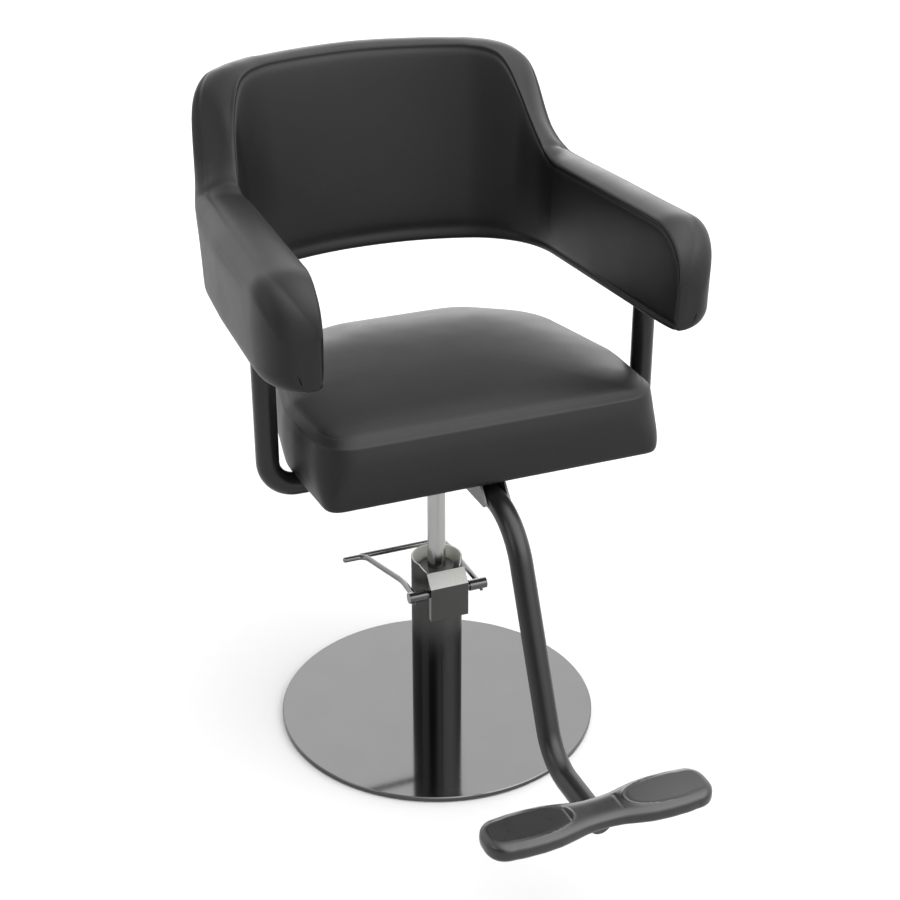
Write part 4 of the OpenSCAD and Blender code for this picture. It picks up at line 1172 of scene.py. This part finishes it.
    def _stitch_line(
        self, cover: bpy.types.Object, count: int, width: int, in_top: int
    ) -> tuple[np.ndarray, np.ndarray, bool]:
        """Returns the open line of the visible topstitches on the border band, and its normals."""
        points, normals = places_of(cover), normals_of(cover)
        grid = points[: count * width].reshape(count, width, 3)
        ups = normals[: count * width].reshape(count, width, 3)
        share = np.zeros(count)
        rows = np.zeros(count, dtype=int)
        for r in range(count):
            gap, row = 0.0, in_top
            while gap < self.stitch_in:
                step = float(np.linalg.norm(grid[r, row + 1] - grid[r, row]))
                if gap + step >= self.stitch_in:
                    share[r] = (self.stitch_in - gap) / step
                    break
                gap, row = gap + step, row + 1
            rows[r] = row
        index = np.arange(count)
        line = grid[index, rows] * (1 - share[:, None]) + grid[index, rows + 1] * share[:, None]
        up = ups[index, rows] * (1 - share[:, None]) + ups[index, rows + 1] * share[:, None]
        return line, up, False


@dataclass
class SeatCushion:
    """The seat's cushion: a boxed cover with a crowned top panel."""

    width: float = 514.0
    front_width: float = 500.0
    rear_width: float = 440.0
    back_width: float = 220.0
    front_y: float = 228.0
    back_y: float = 186.0
    front_r: float = 50.0
    foot_r: float = 20.0
    back_r: float = 110.0
    bottom: float = 522.0
    side_h: float = 90.0
    crown: float = 17.0
    swell: float = 4.0
    flare: float = 9.0
    seam_in: float = 5.0
    seam_depth: float = 2.0
    around: int = 176
    foot_shares: Sequence[float] = (0.45, 0.75, 0.9, 0.965, 0.988)
    heights: Sequence[float] = (
        0, 0.012, 0.04, 0.08, 0.15, 0.25, 0.36, 0.48, 0.6, 0.71, 0.81, 0.89, 0.94, 0.965,
    )
    top_shares: Sequence[float] = (
        0.988, 0.97, 0.945, 0.91, 0.86, 0.8, 0.73, 0.65, 0.56, 0.46, 0.36, 0.26, 0.16, 0.07,
    )

    def outline(self, grow: float, front_r: float) -> np.ndarray:
        """Returns the plan's outline with rounded corners, evenly spaced from the back's middle.

        Args:
            grow: Distance by which it is grown outwards.
            front_r: Radius of the front corners.
        """
        wide_y, turn_y = self.front_y / 3, self.back_y * 0.6
        right = [
            (self.front_width / 2, -self.front_y, front_r),
            (self.width / 2, -wide_y, self.back_r),
            (self.rear_width / 2, turn_y, self.back_r),
            (self.back_width / 2, self.back_y, self.back_r),
        ]
        corners = right + [(-x, y, r) for x, y, r in reversed(right)]
        points = []
        for i, (x, y, r) in enumerate(corners):
            a, b = np.array(corners[i - 1][:2]), np.array((x, y))
            c = np.array(corners[(i + 1) % len(corners)][:2])
            before, after = (b - a) / np.linalg.norm(b - a), (c - b) / np.linalg.norm(c - b)
            turn = math.acos(max(-1.0, min(1.0, float(before @ after))))
            inward = after - before
            centre = b + inward / np.linalg.norm(inward) * r / math.cos(turn / 2)
            start = math.atan2(before[1], before[0]) - math.pi / 2
            for k in range(25):
                angle = start + turn * k / 24
                points.append(centre + (r + grow) * np.array([math.cos(angle), math.sin(angle)]))
        line = np.roll(np.array(points), -100, axis=0)
        line = np.vstack([[(0.0, self.back_y + grow)], line])
        steps = np.linalg.norm(np.diff(line, axis=0, append=line[:1]), axis=1)
        total = np.concatenate([[0], np.cumsum(steps)])
        marks = np.linspace(0, total[-1], self.around, endpoint=False)
        closed = np.vstack([line, line[:1]])
        return np.column_stack([np.interp(marks, total, closed[:, k]) for k in range(2)])

    def build(self) -> tuple[bpy.types.Object, bpy.types.Object]:
        """Builds the cover and its topstitches.

        Returns:
            The cover and the stitches.
        """
        side = smooth_lookup(
            ((0, -0.7), (0.04, 0), (0.25, 0.75), (0.5, 1), (0.75, 0.75), (0.93, 0)), 0.03
        )
        crown = smooth_lookup(
            ((0, 1), (0.06, 1), (0.25, 0.99), (0.5, 0.95), (0.72, 0.86), (0.87, 0.71),
             (0.95, 0.53), (0.985, 0.3), (1, 0)), 0.015,
        )
        rings, gaps = [], []
        base = self.outline(self.swell * -0.5, self.foot_r)
        lean = self.flare * np.minimum(0, base[:, 1] / self.front_y)
        foot = base + np.column_stack([np.zeros(self.around), lean])
        for share in self.foot_shares:
            rings.append(np.column_stack([foot * share, np.full(self.around, self.bottom)]))
            gaps.append(30.0)
        for h in self.heights:
            blend = min(1.0, h / 0.75)
            corner = self.foot_r + (self.front_r - self.foot_r) * blend * blend * (3 - 2 * blend)
            plan = self.outline(self.swell * side(h), corner)
            lean = self.flare * (1 - h) * np.minimum(0, plan[:, 1] / self.front_y)
            plan = plan + np.column_stack([np.zeros(self.around), lean])
            rings.append(np.column_stack([plan, np.full(self.around, self.bottom + self.side_h * h)]))
            gaps.append(self.side_h * (1 - h))
        seam = len(rings)
        top = self.bottom + self.side_h
        rim = self.outline(-self.seam_in * 0.35, self.front_r)
        rings.append(np.column_stack([rim, np.full(self.around, top)]))
        gaps.append(0.0)
        rim = self.outline(-self.seam_in, self.front_r)
        for s in self.top_shares:
            rings.append(np.column_stack([rim * s, np.full(self.around, top + self.crown * crown(s))]))
            gaps.append((1 - s) * 240)
        points = np.vstack(rings)
        n = self.around
        faces = ring_faces(0, len(rings) - 1, n)
        hub = len(points)
        points = np.vstack([points, [0, 0, self.bottom], [0, 0, top + self.crown]])
        last = (len(rings) - 1) * n
        faces += [(hub, (k + 1) % n, k) for k in range(n)]
        faces += [(hub + 1, last + k, last + (k + 1) % n) for k in range(n)]
        cover = mesh_piece("seat_cushion_cover", points, faces)
        gap = np.concatenate([np.repeat(gaps, n), [30, 30]])
        foot_end = (len(self.foot_shares) + 2) * n
        held = [*range(foot_end), hub, *range(seam * n, (seam + 1) * n)]
        inflate(cover, held, 1.6, 0.004, 0.001)
        places, normals = places_of(cover), normals_of(cover)
        press = self.seam_depth * np.exp(-((gap / 2.6) ** 2))
        places = places - normals * press[:, None]
        places[:, 2] = np.maximum(places[:, 2], self.bottom)
        move_points(cover.data, places * MM)
        set_attribute(cover, "seam_gap", gap)
        walk = np.linalg.norm(np.diff(rim, axis=0, append=rim[:1]), axis=1)
        run = np.tile(np.concatenate([[0], np.cumsum(walk)[:-1]]), len(rings))
        set_attribute(cover, "seam_run", np.concatenate([run, [0, 0]]))
        grid, ups = places_of(cover)[:-2].reshape(-1, n, 3), normals_of(cover)[:-2].reshape(-1, n, 3)
        line = grid[seam + 1] * 0.5 + grid[seam + 2] * 0.5
        lines = [(line, ups[seam + 1], True)]
        apply_modifier(cover, "SUBSURF", {"levels": 1, "render_levels": 1})
        dress(cover, FinishName.VINYL)
        return cover, Stitcher().sew("seat_cushion_stitches", lines)


@dataclass
class FootrestPad:
    """The moulded pad: two lobes with a flat tread each, and a waist over the tube's end."""

    width: float = 328.0
    depth: float = 74.0
    thickness: float = 31.0
    middle_y: float = -554.0
    middle_z: float = 189.5
    tube_z: float = 180.0
    tube_d: float = 32.6
    tube_front_y: float = -565.3
    half: Sequence[tuple[float, float, float]] = (
        (0, 0.68, 0.78), (0.06, 0.68, 0.78), (0.16, 0.72, 0.82), (0.28, 0.84, 0.9),
        (0.4, 0.95, 0.97), (0.55, 1, 1), (0.72, 0.99, 1), (0.84, 0.92, 0.97),
        (0.92, 0.78, 0.88), (0.97, 0.58, 0.7), (1, 0.25, 0.36),
    )
    steps: int = 300
    around: int = 128
    squareness: float = 0.68
    tread_drop: float = 1.5
    tread_power: float = 2.3
    tread_blur: float = 0.026
    grooves: Table = ((-44.0, 1.6), (30.0, 2.4))

    def build(self) -> bpy.types.Object:
        """Builds the pad with its channel for the tube.

        Returns:
            The pad.
        """
        deep = smooth_lookup([(s, d) for s, d, _ in self.half], 0.05)
        thick = smooth_lookup([(s, t) for s, _, t in self.half], 0.05)
        rings = []
        for k in range(self.steps + 1):
            share = -math.cos(math.pi * k / self.steps)
            share = 0.3 * share + 0.7 * (2 * k / self.steps - 1)
            s = abs(share)
            d = self.depth / 2 * deep(min(s, 0.8)) * self._rounded(s, 0.8, 2.3)
            t = self.thickness / 2 * thick(min(s, 0.8)) * self._rounded(s, 0.86, 2.6)
            ring = []
            for a in np.linspace(0, 2 * math.pi, self.around, endpoint=False):
                c, q = math.cos(a), math.sin(a)
                y = d * math.copysign(abs(c) ** self.squareness, c)
                z = t * math.copysign(abs(q) ** self.squareness, q)
                ring.append((self.width / 2 * share, self.middle_y + y, self.middle_z + z))
            rings.append(ring)
        grid = self._treads(np.array(rings))
        n = self.around
        faces = ring_faces(1, self.steps - 1, n)
        points = grid.reshape(-1, 3)
        left, right = len(points), len(points) + 1
        points = np.vstack([points, grid[0].mean(axis=0), grid[-1].mean(axis=0)])
        faces += [(left, n + (k + 1) % n, n + k) for k in range(n)]
        last = (self.steps - 1) * n
        faces += [(right, last + k, last + (k + 1) % n) for k in range(n)]
        pad = mesh_piece("footrest_pad_moulding", points, faces)
        pick(pad)
        bpy.ops.object.mode_set(mode="EDIT")
        bpy.ops.mesh.select_all(action="SELECT")
        bpy.ops.mesh.delete_loose()
        bpy.ops.object.mode_set(mode="OBJECT")
        self._cut_channel(pad)
        dress(pad, FinishName.RUBBER)
        return pad

    @staticmethod
    def _rounded(share: float, start: float, power: float) -> float:
        """Returns how much of its size the pad keeps towards its round end."""
        x = max(0.0, (share - start) / (1 - start))
        return max(0.0, 1 - x**power) ** (1 / power)

    def _treads(self, grid: np.ndarray) -> np.ndarray:
        """Flattens an oval tread on each lobe's top, with a lip towards the waist."""
        x, y, z = grid[..., 0], grid[..., 1] - self.middle_y, grid[..., 2]
        up = z > self.middle_z + self.thickness * 0.12
        out = grid.copy()
        plane = self.middle_z + self.thickness / 2 - self.tread_drop
        for sign in (-1, 1):
            across = (x * sign - self.width * 0.322) / (self.width * 0.2)
            deep = y / (self.depth * 0.36)
            power = self.tread_power
            edge = (np.abs(across) ** power + np.abs(deep) ** power) ** (1 / power)
            inside = 1 / (1 + np.exp((edge - 0.97) / self.tread_blur))
            flat = np.minimum(out[..., 2], plane) - 0.5 * (1 - edge.clip(0, 1) ** 2)
            waistward = (0.35 - across).clip(0, 1)
            out[..., 2] = np.where(up, out[..., 2] * (1 - inside) + flat * inside, out[..., 2])
            lip = np.exp(-(((edge - 1.03) / 0.03) ** 2)) * waistward
            out[..., 2] += np.where(up, lip * 1.2, 0)
        for place, wide in self.grooves:
            groove = np.exp(-(((x - place) / wide) ** 2)) * (np.abs(y) < self.depth * 0.2)
            out[..., 2] -= np.where(up, groove * 0.9, 0)
        return out

    def _cut_channel(self, pad: bpy.types.Object) -> None:
        """Cuts the channel for the tube out of the pad's underside."""
        bpy.ops.object.select_all(action="DESELECT")
        bpy.ops.mesh.primitive_cylinder_add(
            vertices=64, radius=(self.tube_d / 2 + 0.3) * MM, depth=0.2,
            location=(0, self.tube_front_y * MM + 0.1, self.tube_z * MM),
            rotation=(math.pi / 2, 0, 0),
        )
        bar = bpy.context.object
        apply_modifier(pad, "BOOLEAN", {"operation": "DIFFERENCE", "object": bar, "solver": "EXACT"})
        bpy.data.objects.remove(bar)
        pick(pad)
        bpy.ops.object.shade_smooth_by_angle(angle=math.radians(38))


@dataclass
class PumpSpring:
    """The short coil under the plunger's collar, which shortens as the foot lever goes down."""

    turns: int = 3
    steps: int = 40
    around: int = 16
    wire_d: float = 1.5
    keep: float = 0.32

    def build(self) -> bpy.types.Object:
        """Builds the coil in the place of its CAD node.

        Returns:
            The coil.
        """
        low, high = (np.array(corner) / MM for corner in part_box("plunger_spring"))
        middle = (low + high) / 2
        r = self.wire_d / 2
        coil_r = (high[0] - low[0]) / 2 - r
        count, n = self.turns * self.steps, self.around
        points = []
        for k in range(count + 1):
            turn = 2 * math.pi * k / self.steps
            z = low[2] + r + (high[2] - low[2] - self.wire_d) * k / count
            for a in np.linspace(0, 2 * math.pi, n, endpoint=False):
                reach = coil_r + r * math.cos(a)
                points.append((
                    middle[0] + reach * math.cos(turn), middle[1] + reach * math.sin(turn),
                    z + r * math.sin(a),
                ))
        faces: list[Sequence[int]] = ring_faces(0, count, n)
        faces += [range(n), range(count * n, (count + 1) * n)]
        coil = mesh_piece("plunger_spring_coil", np.array(points), faces)
        dress(coil, FinishName.BARE)
        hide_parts("plunger_spring")
        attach(coil, "stand")
        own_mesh(coil)
        return coil


@dataclass
class Studio:
    """Camera, lights and floor."""

    eye: Place = (-0.839, -2.066, 1.569)
    turn: Place = (63.64, 0.0, -22.64)
    lens: float = 66.16
    sensor: float = 36.0
    lamp_place: Place = (-2.9, -0.6, 1.9)
    lamp_aim: Place = (0, 0, 0.75)
    lamp_size: float = 1.8
    lamp_power: float = 20.0
    glows: Sequence[tuple[Place, tuple[float, float], tuple[float, float]]] = (
        ((0.34, 0.76, 0.35), (-0.6, 0.7), (0.35, 2.0)),
        ((0.37, 0.92, 0.14), (0.92, 0.99), (0.0, 2.6)),
        ((0.32, -0.42, 0.85), (0.62, 0.97), (0.0, 4.0)),
        ((0.36, -0.88, 0.3), (0.6, 0.96), (0.0, 1.8)),
    )

    def build(self) -> None:
        """Builds the floor, the lights, the world and the camera."""
        bpy.ops.object.select_all(action="DESELECT")
        bpy.ops.mesh.primitive_plane_add(size=40, location=(0, 0, -0.0002))
        floor = bpy.context.object
        floor.name = "studio_floor"
        bpy.ops.object.transform_apply(location=True, rotation=True, scale=True)
        dress(floor, FinishName.FLOOR)
        self._key_light()
        bpy.context.scene.world = self._soft_room()
        bpy.context.scene.view_settings.view_transform = "Standard"
        data = bpy.data.cameras.new("camera")
        data.lens, data.sensor_width = self.lens, self.sensor
        camera = bpy.data.objects.new("camera", data)
        bpy.context.scene.collection.objects.link(camera)
        camera.location = self.eye
        camera.rotation_euler = [math.radians(a) for a in self.turn]
        bpy.context.scene.camera = camera

    def _soft_room(self) -> bpy.types.World:
        """Returns a white room, bright overhead and brighter behind than in front."""
        world = bpy.data.worlds.new("studio_world")
        world.use_nodes = True
        tree = world.node_tree
        way = tree.nodes.new("ShaderNodeTexCoord")

        def glow(toward: Place, reach: tuple[float, float], levels: tuple[float, float]) -> object:
            """Returns a light level that rises smoothly towards a direction."""
            dot = tree.nodes.new("ShaderNodeVectorMath")
            dot.operation = "DOT_PRODUCT"
            dot.inputs[1].default_value = Vector(toward).normalized()
            step = tree.nodes.new("ShaderNodeMapRange")
            step.interpolation_type = "SMOOTHSTEP"
            for key, number in zip(("From Min", "From Max", "To Min", "To Max"), reach + levels):
                step.inputs[key].default_value = number
            tree.links.new(way.outputs["Generated"], dot.inputs[0])
            tree.links.new(dot.outputs["Value"], step.inputs["Value"])
            return step.outputs["Result"]

        total = glow(*self.glows[0])
        for more in self.glows[1:]:
            both = tree.nodes.new("ShaderNodeMath")
            tree.links.new(total, both.inputs[0])
            tree.links.new(glow(*more), both.inputs[1])
            total = both.outputs[0]
        tree.links.new(total, tree.nodes["Background"].inputs["Strength"])
        tree.nodes["Background"].inputs["Color"].default_value = (1, 1, 1, 1)
        return world

    def _key_light(self) -> None:
        """Adds the soft square lamp."""
        data = bpy.data.lights.new("key_light", "AREA")
        data.size, data.energy = self.lamp_size, self.lamp_power
        lamp = bpy.data.objects.new("key_light", data)
        bpy.context.scene.collection.objects.link(lamp)
        lamp.location = self.lamp_place
        way = Vector(self.lamp_aim) - Vector(self.lamp_place)
        lamp.rotation_euler = way.to_track_quat("-Z", "Y").to_euler()


CARRIED: dict[FinishName, Sequence[str]] = {
    FinishName.PAD: ("floor_pad",),
    FinishName.DISC: ("floor_plate",),
    FinishName.ZINC: (
        "base_screws", "seat_plate_bolts", "tee_nuts", "clamp_screws", "hoop_bolts",
        "back_board_screws", "footrest_bracket_bolts",
    ),
    FinishName.CAST: ("pump_foot", "lever_finger"),
    FinishName.BARE: (
        "pressure_cylinder", "plunger_spring", "pump_plunger", "piston_head", "thrust_washer",
        "retaining_ring", "wrap_hoop",
    ),
    FinishName.COLUMN: ("chrome_column",),
    FinishName.OILED: ("cylinder_gland", "valve_block"),
    FinishName.BRONZE: ("guide_bush",),
    FinishName.SEAL: ("rod_seal", "rod_wiper", "piston_seal", "footrest_pad_screws"),
    FinishName.CHEEK: ("bracket_cheeks",),
    FinishName.COVER: ("bracket_cover",),
    FinishName.COLLAR: ("lever_shaft", "lever_collars", "collar_screws"),
    FinishName.LEVER: ("foot_lever",),
    FinishName.ROD: ("piston_rod",),
    FinishName.FRAME: ("swivel_hub", "seat_plate", "arm_frame", "saddle_clamps", "footrest_tube"),
    FinishName.NYLON: ("hub_bushes",),
    FinishName.DUST: ("dust_cover",),
    FinishName.PLYWOOD: ("seat_board", "back_board"),
    FinishName.CLAMP: ("footrest_bracket",),
    FinishName.PLUG: ("tube_plug_rear", "tube_plug_front"),
    FinishName.VINYL: ("back_and_arms", "seat_cushion"),
    FinishName.RUBBER: ("footrest_pad",),
}


def main() -> None:
    """Builds the chair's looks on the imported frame."""
    logging.basicConfig(level=logging.INFO, format="%(name)s: %(message)s")
    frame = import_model()
    Studio().build()
    for finish, names in CARRIED.items():
        for name in names:
            dress_node(frame["nodes"], name, finish)
    wrap, wrap_thread = BackAndArms().build()
    seat, seat_thread = SeatCushion().build()
    pad = FootrestPad().build()
    coil = PumpSpring().build()
    for piece, node, slot in (
        (wrap, "back_and_arms", "vinyl_black"),
        (seat, "seat_cushion", "vinyl_black"),
        (pad, "footrest_pad", "footrest_rubber"),
    ):
        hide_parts(node)
        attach(piece, "seat")
    for thread in (wrap_thread, seat_thread):
        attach(thread, "seat")
    for piece in (wrap, wrap_thread, seat, seat_thread, pad, coil):
        LOG.info("%s: %d faces", piece.name, len(piece.data.polygons))


if __name__ == "__main__":
    main()
